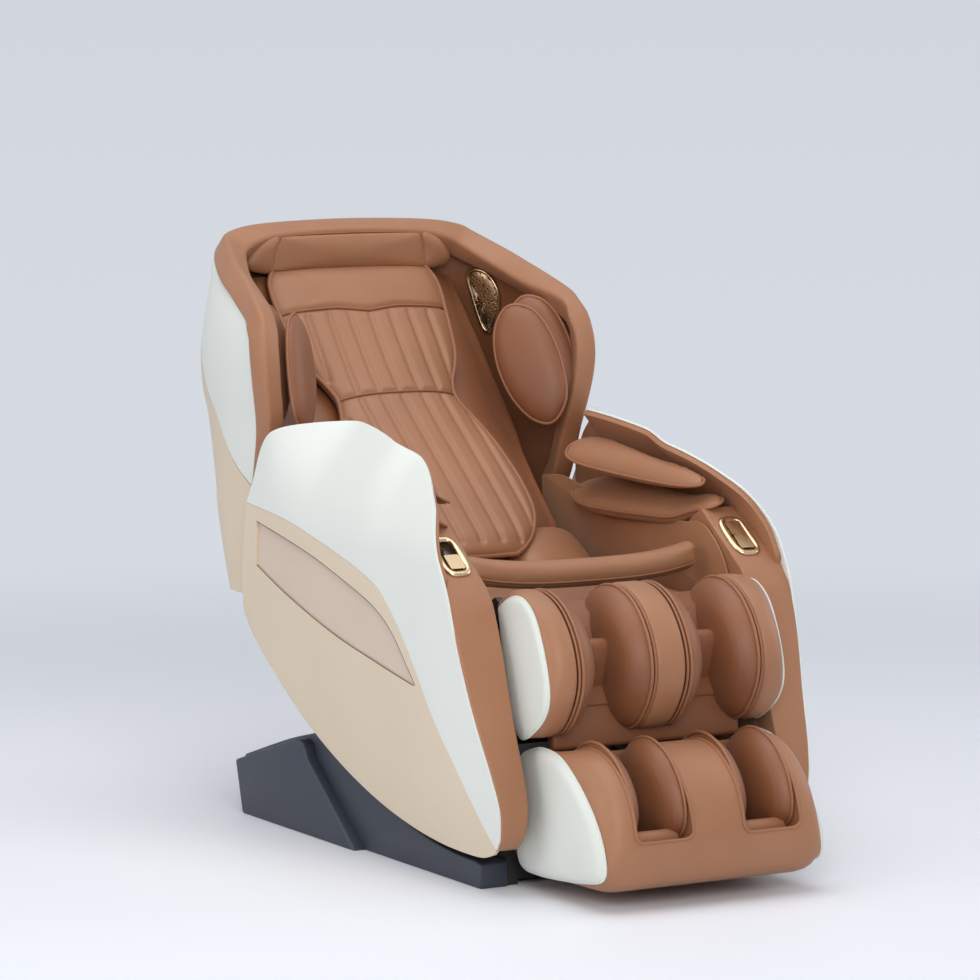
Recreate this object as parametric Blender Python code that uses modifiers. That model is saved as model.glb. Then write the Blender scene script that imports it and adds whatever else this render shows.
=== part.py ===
"""A massage chair: base, rocking seat with closed arms, hooded backrest, calf and foot section.

The chair faces -Y, X runs across it and Z is up. The origin is on the floor at the middle of its
length and width. All sizes are in metres.
"""

import math

import bmesh
import bpy
from mathutils import Matrix, Vector

# Fits
GAP = 0.0003
SLIDE_GAP = 0.0005
SKIN_GAP = 0.0007
OVERRUN = 0.02

# Rocking seat: runners, arm bottoms and cover tops are arcs about one centre high in front of the seat
RUNNER_LOW = 0.09
RUNNER_RADIUS = 1.04
ARM_BELOW_RUNNER = 0.028
COVER_BELOW_ARM = 0.014
TILT_CENTRE = (-0.40, RUNNER_LOW + RUNNER_RADIUS)
ARM_ARC_RADIUS = RUNNER_RADIUS + ARM_BELOW_RUNNER
COVER_ARC_RADIUS = ARM_ARC_RADIUS + COVER_BELOW_ARM

# Pivots, as (Y, Z)
RECLINE_PIVOT = (0.25, 0.42)
LEG_PIVOT = (-0.36, 0.495)
PIN_RADIUS = 0.008
PIN_CLEARANCE = 0.0004

# Base
BASE_FRONT = -0.42
BASE_REAR = 0.466
CRADLE_INNER = 0.212
CRADLE_WIDTH = 0.024
CROSS_BAR_TOP = 0.05
COVER_WIDTH = 0.058
FAIRING_WIDTH = 0.024

# Seat
ARM_INNER = 0.2645
PLATE_INNER = 0.2177
PLATE_WIDTH = 0.012
SEAT_RAIL_TOP = 0.395
SEAT_BAR_HEIGHT = 0.035
SEAT_HALF = (0.257, 0.16, 0.05)
SEAT_MIDDLE_Y = -0.11
BOLSTER_HALF = (ARM_INNER - GAP, 0.028, 0.036)
BOLSTER_MIDDLE = (-0.285, 0.54)

# Arms
ARM_WIDE = 0.36
ARM_TOP = 0.585
LEAN_START = 0.58
LEAN_DEPTH = 0.105
FOOT_TAPER = 0.045
SHIELD_WALL = 0.004
PANEL_WALL = 0.008
RECESS_DEPTH = 0.004
BAND_INNER = 0.266
LOWER_PAD_HALF = (0.034, 0.235, 0.033)
LOWER_PAD_EDGE = 0.061
LOWER_PAD_Y = -0.018
UPPER_PAD_HALF = (0.046, 0.200, 0.020)
UPPER_PAD_EDGE = 0.124
UPPER_PAD_Y = -0.070
UPPER_PAD_RISE = 0.118
UPPER_PAD_ROLL = math.radians(20)

# Control bezels on the sloping arm fronts
BEZEL_EDGE = 0.055
BEZEL_X = ARM_WIDE - BEZEL_EDGE
BEZEL_LENGTH = 0.094
BEZEL_WIDTH = 0.05
BEZEL_HEIGHT = 0.006
BEZEL_RIM = 0.009
BEZEL_CHAMFER = 0.003
KEY_GAP = 0.0004
KEY_PROUD = 0.0008
KEY_TRAVEL = 0.0015

# Backrest
HOOD_WALL = 0.005
SEAM_GAP = 0.002
LINING_WALL = 0.008
LINING_INSET = 0.0109
RIM_RADIUS = 0.026
COVER_BOTTOM = 0.43
HOOD_TOP = 1.10
PLAN_POWER = 3.5
BACK_PAD_THICKNESS = 0.045
CHANNEL_COUNT = 6
CHANNEL_DEPTH = 0.007
APRON_WALL = 0.012

# Massage mechanism, set square to the straight upper part of the back
RAIL_POINT = (0.49, 0.733)
RAIL_SLOPE = math.radians(52.5)
RAIL_X = 0.15
RAIL_RADIUS = 0.011
RAIL_LOW = -0.20
RAIL_HIGH = 0.26
FRAME_HALF_WIDTH = 0.20
FRAME_BAR = 0.05
FRAME_THICKNESS = 0.012
CARRIAGE_LENGTH = 0.11
CARRIAGE_DEPTH = 0.03
SCREW_RADIUS = 0.007
ROCKER_GAP = 0.011
ROCKER_PIN = 0.006
ROLLER_PIN = 0.0045
ROLLER_RADIUS = 0.017
ROLLER_SPREAD = 0.078

# Leg and foot section; its axis leans forward from the hinge to the foot
LEG_LEAN = math.radians(22)
LEG_TOP = (-0.372, 0.508)
LEG_LENGTH = 0.206
CALF_HALF_WIDTH = 0.2427
CALF_COVER = 0.0075
CALF_COVER_SHRINK = 0.05
WELL_INNER = 0.035
WELL_OUTER = 0.178
WELL_BACK = 0.05
CALF_PAD_SIDE = 0.022
CALF_PAD_BACK = 0.035
CALF_PAD_REACH = 0.105
LEG_PLATE = 0.012
ROD_OFFSET = 0.03
ROD_RADIUS = 0.009
ROD_X = 0.15
ROD_START = 0.06
ROD_END = 0.2995
SLIDE_BAR = 0.006
FOOT_HALF_WIDTH = 0.2155
FOOT_COVER = 0.029
FOOT_COVER_SHRINK = 0.03
FOOT_COVER_DOME = 0.12
FOOT_BOTTOM = 0.03
FOOT_WELL_FLOOR = 0.075
FOOT_WELL_INNER = 0.03
FOOT_WELL_OUTER = 0.175
FOOT_WELL_REAR = -0.52
FOOT_PAD_SIDE = 0.02
FOOT_PAD_BACK = 0.024
FOOT_PAD_REACH = 0.125
FOOT_PAD_CLEAR = 0.02
FOOT_PAD_HEIGHT = 0.13
FOOT_ROLLER = (-0.60, 0.066)
FOOT_ROLLER_RADIUS = 0.021

# Actuators
ACTUATOR_HALF = 0.03
ACTUATOR_ROD = 0.01
ACTUATOR_LENGTH = 0.14
LEG_ACTUATOR_X = -0.08
RECLINE_ACTUATOR_X = 0.08

FINISHES = {
    "leather": ((0.40, 0.165, 0.075), 0.5, 0.0),
    "dark_leather": ((0.22, 0.09, 0.045), 0.55, 0.0),
    "white": ((0.72, 0.74, 0.70), 0.45, 0.0),
    "beige": ((0.68, 0.58, 0.46), 0.5, 0.0),
    "charcoal": ((0.045, 0.052, 0.068), 0.5, 0.0),
    "gold": ((0.60, 0.40, 0.22), 0.3, 1.0),
    "steel": ((0.30, 0.31, 0.33), 0.4, 1.0),
    "black": ((0.02, 0.02, 0.022), 0.45, 0.0),
}

SIDES = (("left", -1), ("right", 1))

for old in list(bpy.data.objects):
    bpy.data.objects.remove(old, do_unlink=True)

parts = bpy.data.collections.new("massage_chair")
helpers = bpy.data.collections.new("cutters")
for collection in (parts, helpers):
    bpy.context.scene.collection.children.link(collection)


def make_body(name, place, carrier=None):
    """An empty on the body's joint axis, which carries the body's pieces."""
    empty = bpy.data.objects.new(name, None)
    parts.objects.link(empty)
    empty.location = place
    if carrier:
        empty.parent = carrier
        empty.location = Vector(place) - carrier.matrix_world.translation
    bpy.context.view_layer.update()
    return empty


def along(point, direction, distance):
    """A (Y, Z) point moved by a distance along a (Y, Z) direction."""
    return (point[0] + direction[0] * distance, point[1] + direction[1] * distance)


def toward(point, middle, share):
    """A (Y, Z) point moved a share of the way to a middle."""
    return tuple(value + (centre - value) * share for value, centre in zip(point, middle))


RAIL_UP = (math.cos(RAIL_SLOPE), math.sin(RAIL_SLOPE))
RAIL_OUT = (-math.sin(RAIL_SLOPE), math.cos(RAIL_SLOPE))
LEG_DOWN = (-math.sin(LEG_LEAN), -math.cos(LEG_LEAN))
LEG_OUT = (-math.cos(LEG_LEAN), math.sin(LEG_LEAN))
LEG_BOTTOM = along(LEG_TOP, LEG_DOWN, LEG_LENGTH)

base = make_body("base", (0, 0, 0))
seat = make_body("seat", (0, *TILT_CENTRE), base)
backrest = make_body("backrest", (0, *RECLINE_PIVOT), seat)
legrest = make_body("legrest", (0, *LEG_PIVOT), seat)
footrest = make_body("footrest", (0, *LEG_BOTTOM), legrest)


def smooth(points, steps):
    """Points along a Catmull-Rom curve through the given ones."""
    ends = [points[0], *points, points[-1]]
    curve = []
    for before, start, end, after in zip(ends, ends[1:], ends[2:], ends[3:]):
        for step in range(steps):
            t = step / steps
            curve.append(tuple(
                0.5 * (2 * b + (c - a) * t + (2 * a - 5 * b + 4 * c - d) * t**2
                       + (3 * b - a - 3 * c + d) * t**3)
                for a, b, c, d in zip(before, start, end, after)))
    curve.append(tuple(points[-1]))
    return curve


def smooth_loop(points, steps):
    """A closed Catmull-Rom curve through the given points."""
    count = len(points)
    curve = smooth([points[-1], *points, points[0], points[1]], steps)
    return curve[steps:steps * (count + 1)]


def spread(points, count):
    """Evenly spaced points along a polyline."""
    lengths = [0.0]
    for start, end in zip(points, points[1:]):
        lengths.append(lengths[-1] + math.dist(start, end))
    spaced = []
    index = 0
    for number in range(count):
        target = lengths[-1] * number / (count - 1)
        while index < len(points) - 2 and lengths[index + 1] < target:
            index += 1
        share = (target - lengths[index]) / (lengths[index + 1] - lengths[index])
        spaced.append(tuple(a + (b - a) * share for a, b in zip(points[index], points[index + 1])))
    return spaced


def read_table(table, value):
    """The row of a table at a value of its first column, in straight steps."""
    for low, high in zip(table, table[1:]):
        if value <= high[0] or high is table[-1]:
            share = (value - low[0]) / (high[0] - low[0])
            share = min(max(share, 0.0), 1.0)
            return [a + (b - a) * share for a, b in zip(low[1:], high[1:])]
    return list(table[-1][1:])


def finish_object(name, mesh, finish, body):
    """A named piece with its own material, carried by a body."""
    piece = bpy.data.objects.new(name, mesh)
    if finish:
        colour, roughness, metallic = FINISHES[finish]
        material = bpy.data.materials.new(f"{name}_{finish}")
        material.use_nodes = True
        shader = material.node_tree.nodes["Principled BSDF"]
        shader.inputs["Base Color"].default_value = (*colour, 1)
        shader.inputs["Roughness"].default_value = roughness
        shader.inputs["Metallic"].default_value = metallic
        mesh.materials.append(material)
        parts.objects.link(piece)
    else:
        helpers.objects.link(piece)
        piece.hide_render = True
        piece.display_type = "WIRE"
    if body:
        piece.parent = body
        piece.matrix_parent_inverse = body.matrix_world.inverted()
    mesh.shade_smooth()
    mesh.set_sharp_from_angle(angle=math.radians(40))
    return piece


def from_bmesh(name, bm, finish, body):
    bmesh.ops.recalc_face_normals(bm, faces=bm.faces)
    if bm.calc_volume(signed=True) < 0:
        bmesh.ops.reverse_faces(bm, faces=bm.faces)
    mesh = bpy.data.meshes.new(name)
    bm.to_mesh(mesh)
    bm.free()
    return finish_object(name, mesh, finish, body)


def plate(name, outline, x_range, finish, body):
    """A (Y, Z) outline extruded across the chair between two X values."""
    low, high = min(x_range), max(x_range)
    curve = bpy.data.curves.new(name, "CURVE")
    curve.dimensions = "2D"
    curve.fill_mode = "BOTH"
    curve.extrude = (high - low) / 2
    line = curve.splines.new("POLY")
    line.points.add(len(outline) - 1)
    for point, (y, z) in zip(line.points, outline):
        point.co = (y, z, 0, 1)
    line.use_cyclic_u = True
    guide = bpy.data.objects.new(name + "_outline", curve)
    helpers.objects.link(guide)
    bpy.context.view_layer.update()
    evaluated = guide.evaluated_get(bpy.context.evaluated_depsgraph_get())
    mesh = bpy.data.meshes.new_from_object(evaluated)
    bpy.data.objects.remove(guide)
    bm = bmesh.new()
    bm.from_mesh(mesh)
    bpy.data.meshes.remove(mesh)
    bmesh.ops.remove_doubles(bm, verts=bm.verts, dist=1e-6)
    middle = (low + high) / 2
    for vert in bm.verts:
        y, z, x = vert.co
        vert.co = (middle + x, y, z)
    return from_bmesh(name, bm, finish, body)


def loft(name, rings, finish, body):
    """A solid through rings of equally many points, with flat ends."""
    bm = bmesh.new()
    loops = [[bm.verts.new(point) for point in ring] for ring in rings]
    for loop, following in zip(loops, loops[1:]):
        for index, vert in enumerate(loop):
            before = index - 1
            bm.faces.new((loop[before], vert, following[index], following[before]))
    bm.faces.new(loops[0])
    bm.faces.new(loops[-1])
    return from_bmesh(name, bm, finish, body)


def box(name, low, high, finish, body):
    bm = bmesh.new()
    bmesh.ops.create_cube(bm, size=1)
    for vert in bm.verts:
        vert.co = [a + (b - a) * (c + 0.5) for a, b, c in zip(low, high, vert.co)]
    return from_bmesh(name, bm, finish, body)


def bar(name, start, end, radius, finish, body, segments=14):
    """A round bar between two points."""
    start, end = Vector(start), Vector(end)
    bm = bmesh.new()
    bmesh.ops.create_cone(bm, cap_ends=True, segments=segments, radius1=radius, radius2=radius,
                          depth=(end - start).length)
    turn = (end - start).to_track_quat("Z", "Y").to_matrix().to_4x4()
    bm.transform(Matrix.Translation((start + end) / 2) @ turn)
    return from_bmesh(name, bm, finish, body)


def turned(name, profile, place, finish, body, steps=14):
    """A profile of (X, radius) points turned about an axis across the chair."""
    rings = []
    for x, radius in profile:
        rings.append([(x, place[0] + radius * math.cos(2 * math.pi * step / steps),
                       place[1] + radius * math.sin(2 * math.pi * step / steps))
                      for step in range(steps)])
    return loft(name, rings, finish, body)


def pad(name, half, middle, finish, body, tilt=None, power=(0.55, 0.45), segments=(20, 8)):
    """A puffed pad: a rounded box with a crown on every side."""
    bm = bmesh.new()
    bmesh.ops.create_uvsphere(bm, u_segments=segments[0], v_segments=segments[1], radius=1)

    def softened(value, exponent):
        return math.copysign(abs(value) ** exponent, value)

    for vert in bm.verts:
        x, y, z = vert.co
        round_part = math.hypot(x, y)
        heading = math.atan2(y, x)
        girth = softened(round_part, power[0])
        vert.co = (half[0] * girth * softened(math.cos(heading), power[1]),
                   half[1] * girth * softened(math.sin(heading), power[1]),
                   half[2] * softened(z, power[0]))
    bmesh.ops.remove_doubles(bm, verts=bm.verts, dist=1e-5)
    bm.transform(Matrix.Translation(middle) @ (tilt or Matrix()))
    return from_bmesh(name, bm, finish, body)


def shell(name, rows, wall, finish, body, outward):
    """An open surface through rows of points, thickened inward by a wall."""
    bm = bmesh.new()
    grid = [[bm.verts.new(point) for point in row] for row in rows]
    for row, following in zip(grid, grid[1:]):
        for index in range(len(row) - 1):
            bm.faces.new((row[index], row[index + 1], following[index + 1], following[index]))
    bm.normal_update()
    bm.faces.ensure_lookup_table()
    middle = bm.faces[len(bm.faces) // 2]
    if middle.normal.dot(outward(middle.calc_center_median())) < 0:
        bmesh.ops.reverse_faces(bm, faces=bm.faces)
    mesh = bpy.data.meshes.new(name)
    bm.to_mesh(mesh)
    bm.free()
    piece = finish_object(name, mesh, finish, body)
    thicken = piece.modifiers.new("wall", "SOLIDIFY")
    thicken.thickness = wall
    thicken.offset = -1
    return piece


def boolean(piece, other, operation):
    change = piece.modifiers.new(other.name, "BOOLEAN")
    change.operation = operation
    change.object = other
    return piece


def cut(piece, *cutters):
    for cutter in cutters:
        boolean(piece, cutter, "DIFFERENCE")


def join(piece, *others):
    for other in others:
        boolean(piece, other, "UNION")


def arc_height(y, radius):
    """Height of an arc about the tilt centre."""
    return TILT_CENTRE[1] - math.sqrt(radius**2 - (y - TILT_CENTRE[0])**2)


def arc(start, end, radius, count=14):
    """Points (Y, Z) on an arc about the tilt centre."""
    return [(start + (end - start) * n / (count - 1),
             arc_height(start + (end - start) * n / (count - 1), radius)) for n in range(count)]


def round_outline(middle, radius, count=20):
    return [(middle[0] + radius * math.cos(2 * math.pi * n / count),
             middle[1] + radius * math.sin(2 * math.pi * n / count)) for n in range(count)]


# Base: a cradle with curved tops, side covers and rear fairings

CRADLE_OUTER = CRADLE_INNER + CRADLE_WIDTH
CRADLE_REAR = 0.20
CROSS_BARS = ((-0.40, -0.34), (0.02, 0.08), (0.19, 0.31), (0.38, 0.45))

cradle_outline = [(-0.41, 0.0), (-0.41, 0.05), *arc(-0.36, CRADLE_REAR, RUNNER_RADIUS + SLIDE_GAP),
                  (0.30, 0.17), (0.45, 0.10), (0.45, 0.0)]
base_frame = plate("base_frame", cradle_outline, (CRADLE_INNER, CRADLE_OUTER), "steel", base)
join(base_frame, plate("cradle_left", cradle_outline, (-CRADLE_INNER, -CRADLE_OUTER), None, base))
for number, (front, rear) in enumerate(CROSS_BARS):
    reach = CRADLE_INNER + CRADLE_WIDTH / 2
    join(base_frame, box(f"base_bar_{number}", (-reach, front, 0.006), (reach, rear, CROSS_BAR_TOP),
                         None, base))

COVER_REAR_TOP = (0.497, 0.108)
cover_outline = [(BASE_FRONT, 0.0), (BASE_FRONT, 0.044), *arc(-0.40, 0.13, COVER_ARC_RADIUS),
                 (0.21, 0.190), (0.322, 0.162), COVER_REAR_TOP, (BASE_REAR, 0.0)]
fairing_outline = [(0.006, 0.0), (0.195, 0.146), (0.225, 0.178), (0.318, 0.154),
                   (0.490, 0.101), (BASE_REAR - 0.004, 0.0)]
COVER_INNER = CRADLE_OUTER + GAP
COVER_OUTER = COVER_INNER + COVER_WIDTH
for side, sign in SIDES:
    cover = plate(f"base_cover_{side}", cover_outline, (sign * COVER_INNER, sign * COVER_OUTER),
                  "charcoal", base)
    join(cover, plate(f"fairing_{side}", fairing_outline,
                      (sign * (COVER_OUTER - 0.01), sign * (COVER_OUTER + FAIRING_WIDTH)), None, base))

# Power box with an inlet recess and a rocker switch in its rear face
POWER_LOW = (-0.11, 0.385, CROSS_BAR_TOP + GAP)
POWER_HIGH = (0.11, 0.455, 0.118)
power_box = box("power_box", POWER_LOW, POWER_HIGH, "black", base)
SWITCH_X = 0.06
SWITCH_HALF = (0.010, 0.007)
SWITCH_Z = 0.084
SWITCH_DEPTH = 0.010
SWITCH_PROUD = 0.002
SWITCH_DISH = 0.0015
SWITCH_ROOT = 0.004
cut(power_box,
    box("inlet_recess", (-0.075, POWER_HIGH[1] - 0.02, 0.070), (-0.045, POWER_HIGH[1] + OVERRUN, 0.098),
        None, base),
    box("switch_recess",
        (SWITCH_X - SWITCH_HALF[0] - SLIDE_GAP, POWER_HIGH[1] - SWITCH_DEPTH - 0.004,
         SWITCH_Z - SWITCH_HALF[1] - 0.0015),
        (SWITCH_X + SWITCH_HALF[0] + SLIDE_GAP, POWER_HIGH[1] + OVERRUN, SWITCH_Z + SWITCH_HALF[1] + 0.0015),
        None, base))
switch_pivot = make_body("switch_pivot", (SWITCH_X, POWER_HIGH[1] - 0.004, SWITCH_Z), base)
switch_face = POWER_HIGH[1] + SWITCH_PROUD
rocker_outline = [(POWER_HIGH[1] - SWITCH_DEPTH, SWITCH_Z - SWITCH_ROOT),
                  (switch_face, SWITCH_Z - SWITCH_HALF[1]),
                  (switch_face - SWITCH_DISH, SWITCH_Z),
                  (switch_face, SWITCH_Z + SWITCH_HALF[1]),
                  (POWER_HIGH[1] - SWITCH_DEPTH, SWITCH_Z + SWITCH_ROOT)]
plate("power_switch", rocker_outline, (SWITCH_X - SWITCH_HALF[0], SWITCH_X + SWITCH_HALF[0]), "black",
      switch_pivot)


def actuator(name, x, body_range, z, rod_range, body, bottom=None):
    """A motor body with a through bore, and the rod that slides in it along Y."""
    low_z = z - ACTUATOR_HALF if bottom is None else bottom
    motor = box(f"{name}_actuator", (x - ACTUATOR_HALF, body_range[0], low_z),
                (x + ACTUATOR_HALF, body_range[1], z + ACTUATOR_HALF), "black", body)
    cut(motor, bar(f"{name}_bore", (x, body_range[0] - OVERRUN, z), (x, body_range[1] + OVERRUN, z),
                   ACTUATOR_ROD + SLIDE_GAP, None, body))
    carrier = make_body(f"{name}_rod_slide", (x, rod_range[0], z), body)
    bar(f"{name}_rod", (x, rod_range[0], z), (x, rod_range[1], z), ACTUATOR_ROD, "steel", carrier)


TILT_BAR = (-0.02, 0.19)
TILT_BAR_RADIUS = 0.014
TILT_ROD_TIP = TILT_BAR[0] + TILT_BAR_RADIUS + GAP
actuator("tilt", 0.0, (0.20, 0.20 + ACTUATOR_LENGTH * 0.75), TILT_BAR[1], (TILT_ROD_TIP, 0.40), base,
         bottom=CROSS_BAR_TOP + GAP)

# Seat frame: two runner plates with pivot ears, joined by bars

PLATE_OUTER = PLATE_INNER + PLATE_WIDTH
EAR = 0.015
LEVER_TIP = (0.236, 0.34)
SEAT_BARS = ((-0.30, -0.26), (-0.13, -0.05), (0.12, 0.16))
runner_outline = [*arc(-0.33, 0.27, RUNNER_RADIUS), (0.29, 0.37),
                  *[along(RECLINE_PIVOT, (math.cos(a), math.sin(a)), EAR * 1.4)
                    for a in (math.radians(-10), math.radians(45), math.radians(100), math.radians(160))],
                  (0.19, SEAT_RAIL_TOP), (-0.29, SEAT_RAIL_TOP),
                  *[along(LEG_PIVOT, (math.cos(a), math.sin(a)), EAR)
                    for a in (math.radians(30), math.radians(90), math.radians(150), math.radians(210))],
                  (-0.345, 0.43)]
seat_frame = plate("seat_frame", runner_outline, (PLATE_INNER, PLATE_OUTER), "steel", seat)
join(seat_frame, plate("runner_left", runner_outline, (-PLATE_INNER, -PLATE_OUTER), None, seat))
plate_middle = (PLATE_INNER + PLATE_OUTER) / 2
for number, (front, rear) in enumerate(SEAT_BARS):
    join(seat_frame, box(f"seat_bar_{number}", (-plate_middle, front, SEAT_RAIL_TOP - SEAT_BAR_HEIGHT),
                         (plate_middle, rear, SEAT_RAIL_TOP), None, seat))
join(seat_frame, bar("tilt_bar", (-plate_middle, *TILT_BAR), (plate_middle, *TILT_BAR), TILT_BAR_RADIUS,
                     None, seat))
ARM_HANGERS = ((-0.24, -0.16), (0.10, 0.18))
for side, sign in SIDES:
    for pivot, label in ((RECLINE_PIVOT, "recline"), (LEG_PIVOT, "leg")):
        join(seat_frame, bar(f"{label}_pin_{side}", (sign * (PLATE_INNER - 0.017), *pivot),
                             (sign * plate_middle, *pivot), PIN_RADIUS, None, seat))
    for number, (front, rear) in enumerate(ARM_HANGERS):
        reach = sorted((sign * plate_middle, sign * (ARM_INNER - GAP)))
        join(seat_frame, box(f"arm_hanger_{side}_{number}", (reach[0], front, 0.33),
                             (reach[1], rear, 0.37), None, seat))

pad("seat_cushion", SEAT_HALF, (0, SEAT_MIDDLE_Y, SEAT_RAIL_TOP + GAP + SEAT_HALF[2]), "leather", seat,
    power=(0.5, 0.3), segments=(24, 10))
pad("seat_bolster", BOLSTER_HALF, (0, *BOLSTER_MIDDLE), "leather", seat, power=(0.7, 0.3))

ACTUATOR_Z = SEAT_RAIL_TOP - SEAT_BAR_HEIGHT - GAP - ACTUATOR_HALF
leg_plate_rear = along(along(LEG_TOP, LEG_DOWN, (LEG_TOP[1] - ACTUATOR_Z) / math.cos(LEG_LEAN)),
                       LEG_OUT, -(LEG_PLATE + GAP))
LEG_ROD_TIP = leg_plate_rear[0] + LEG_PLATE
LEVER_REACH = 0.0155
RECLINE_ROD_TIP = LEVER_TIP[0] - LEVER_REACH - SLIDE_GAP
actuator("legrest", LEG_ACTUATOR_X, (-0.17, -0.17 + ACTUATOR_LENGTH), ACTUATOR_Z, (LEG_ROD_TIP, -0.05), seat)
actuator("recline", RECLINE_ACTUATOR_X, (-0.09, -0.09 + ACTUATOR_LENGTH), ACTUATOR_Z,
         (-0.02, RECLINE_ROD_TIP), seat)

# Arms: a leaning white shield over a beige lower panel, one surface for both

SHIELD_TOP = [(0.348, 0.624), (0.325, 0.662), (0.287, 0.732), (0.233, 0.768), (0.138, 0.785),
              (0.056, 0.782), (-0.055, 0.766), (-0.161, 0.741), (-0.22, 0.721), (-0.272, 0.695),
              (-0.333, 0.652), (-0.409, 0.539), (-0.445, 0.436), (-0.485, 0.316), (-0.524, 0.217),
              (-0.538, 0.157), (-0.525, 0.106)]
SHIELD_SEAM = [(0.352, 0.616), (0.19, 0.598), (0.019, 0.564), (-0.114, 0.53), (-0.187, 0.496),
               (-0.267, 0.411), (-0.338, 0.298), (-0.40, 0.217), (-0.473, 0.123), (-0.508, 0.086)]
PANEL_BOTTOM = [(0.3565, 0.600), (0.372, 0.50), (0.377, 0.428), (0.361, 0.384),
                *arc(0.30, -0.44, ARM_ARC_RADIUS, 7), (-0.492, 0.074)]
RECESS_OUTLINE = [(0.308, 0.585), (0.101, 0.546), (-0.068, 0.502), (-0.15, 0.475), (-0.21, 0.438),
                  (-0.283, 0.350), (-0.149, 0.373), (0.016, 0.407), (0.188, 0.457), (0.311, 0.502)]


def ease(value):
    value = min(max(value, 0.0), 1.0)
    return value * value * (3 - 2 * value)


def shield_x(y, z):
    """Half width of the arm: widest at elbow height, leaning in to the ridge and to the tip."""
    rise = 0.17 + 0.03 * ease((y + 0.16) / 0.10)
    lean = LEAN_DEPTH * min(max((z - LEAN_START) / rise, 0.0), 1.1) ** 1.8
    lean *= 1 - ease((y - 0.10) / 0.17)
    taper = FOOT_TAPER * (max(0.5 - z, 0.0) / 0.4) ** 1.5
    return ARM_WIDE - lean - taper


def arm_rows(low_curve, high_curve, along_count, across_count, sign, inset=0.0):
    """Rows of arm surface points between two (Y, Z) curves."""
    low = spread(smooth(low_curve, 6), along_count)
    high = spread(smooth(high_curve, 6), along_count)
    rows = []
    for start, end in zip(low, high):
        row = []
        for step in range(across_count):
            share = step / (across_count - 1)
            y = start[0] + (end[0] - start[0]) * share
            z = start[1] + (end[1] - start[1]) * share
            row.append((sign * (shield_x(y, z) - inset), y, z))
        rows.append(row)
    return rows


ARM_REAR = 0.30
BAND_REAR = [(-0.30, ARM_TOP), (-0.352, 0.52), (-0.392, 0.436), (-0.428, 0.316), (-0.47, 0.217),
             (-0.478, 0.16), (-0.462, 0.1)]
CONSOLE_TOP = (-0.262, 0.632)
CONSOLE_FRONT = (-0.398, 0.534)
BAND_FRONT = [CONSOLE_FRONT, (-0.439, 0.436), (-0.478, 0.316), (-0.517, 0.217), (-0.531, 0.157),
              (-0.52, 0.108), (-0.492, 0.082)]
band_rear = smooth(BAND_REAR, 3)
band_outline = [(CONSOLE_TOP[0], ARM_TOP + GAP), CONSOLE_TOP, *smooth(BAND_FRONT, 3), *band_rear[:0:-1],
                (BAND_REAR[0][0], ARM_TOP + GAP)]
core_outline = [(y + SLIDE_GAP, z) for y, z in band_rear]
core_outline += [*arc(-0.44, 0.28, ARM_ARC_RADIUS - 0.016, 10), (0.33, 0.40), (0.325, 0.50),
                 (ARM_REAR, ARM_TOP)]


def arm_block(name, outline, inner, clearance, finish, sign):
    """A block from a flat inner face to just inside the arm surface."""
    inner_ring = [(sign * inner, y, z) for y, z in outline]
    outer_ring = [(sign * (shield_x(y, z) - clearance), y, z) for y, z in outline]
    return loft(name, [inner_ring, outer_ring], finish, seat)


def outward_x(sign):
    return lambda place: Vector((sign, 0, 0))


CONSOLE_RUN = Vector((0, CONSOLE_FRONT[0] - CONSOLE_TOP[0], CONSOLE_FRONT[1] - CONSOLE_TOP[1])).normalized()
CONSOLE_UP = Vector((0, CONSOLE_RUN[2], -CONSOLE_RUN[1]))
CONSOLE_MIDDLE = Vector((0, (CONSOLE_TOP[0] + CONSOLE_FRONT[0]) / 2, (CONSOLE_TOP[1] + CONSOLE_FRONT[1]) / 2))


def console_place(x, run, up):
    """A point by its X, its run down the sloping arm front and its height over it."""
    return Vector((x, 0, 0)) + CONSOLE_MIDDLE + CONSOLE_RUN * run + CONSOLE_UP * up


def console_ring(x, run, half_width, half_length, up, power=0.45, count=32):
    """A rounded ring of points in a plane over the sloping arm front."""
    ring = []
    for number in range(count):
        turn = 2 * math.pi * number / count
        across = math.copysign(abs(math.cos(turn)) ** power, math.cos(turn)) * half_width
        down = math.copysign(abs(math.sin(turn)) ** power, math.sin(turn)) * half_length
        ring.append(console_place(x + across, run + down, up))
    return ring


HOLE_HALF_WIDTH = BEZEL_WIDTH / 2 - BEZEL_RIM
HOLE_HALF_LENGTH = BEZEL_LENGTH / 2 - BEZEL_RIM
KEY_LENGTH = HOLE_HALF_LENGTH / 2 - 2.5 * KEY_GAP
KEYS = {"left": (("mode_key", KEY_LENGTH + KEY_GAP),),
        "right": (("back_key", KEY_LENGTH + KEY_GAP), ("front_key", -KEY_LENGTH - KEY_GAP))}

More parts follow.
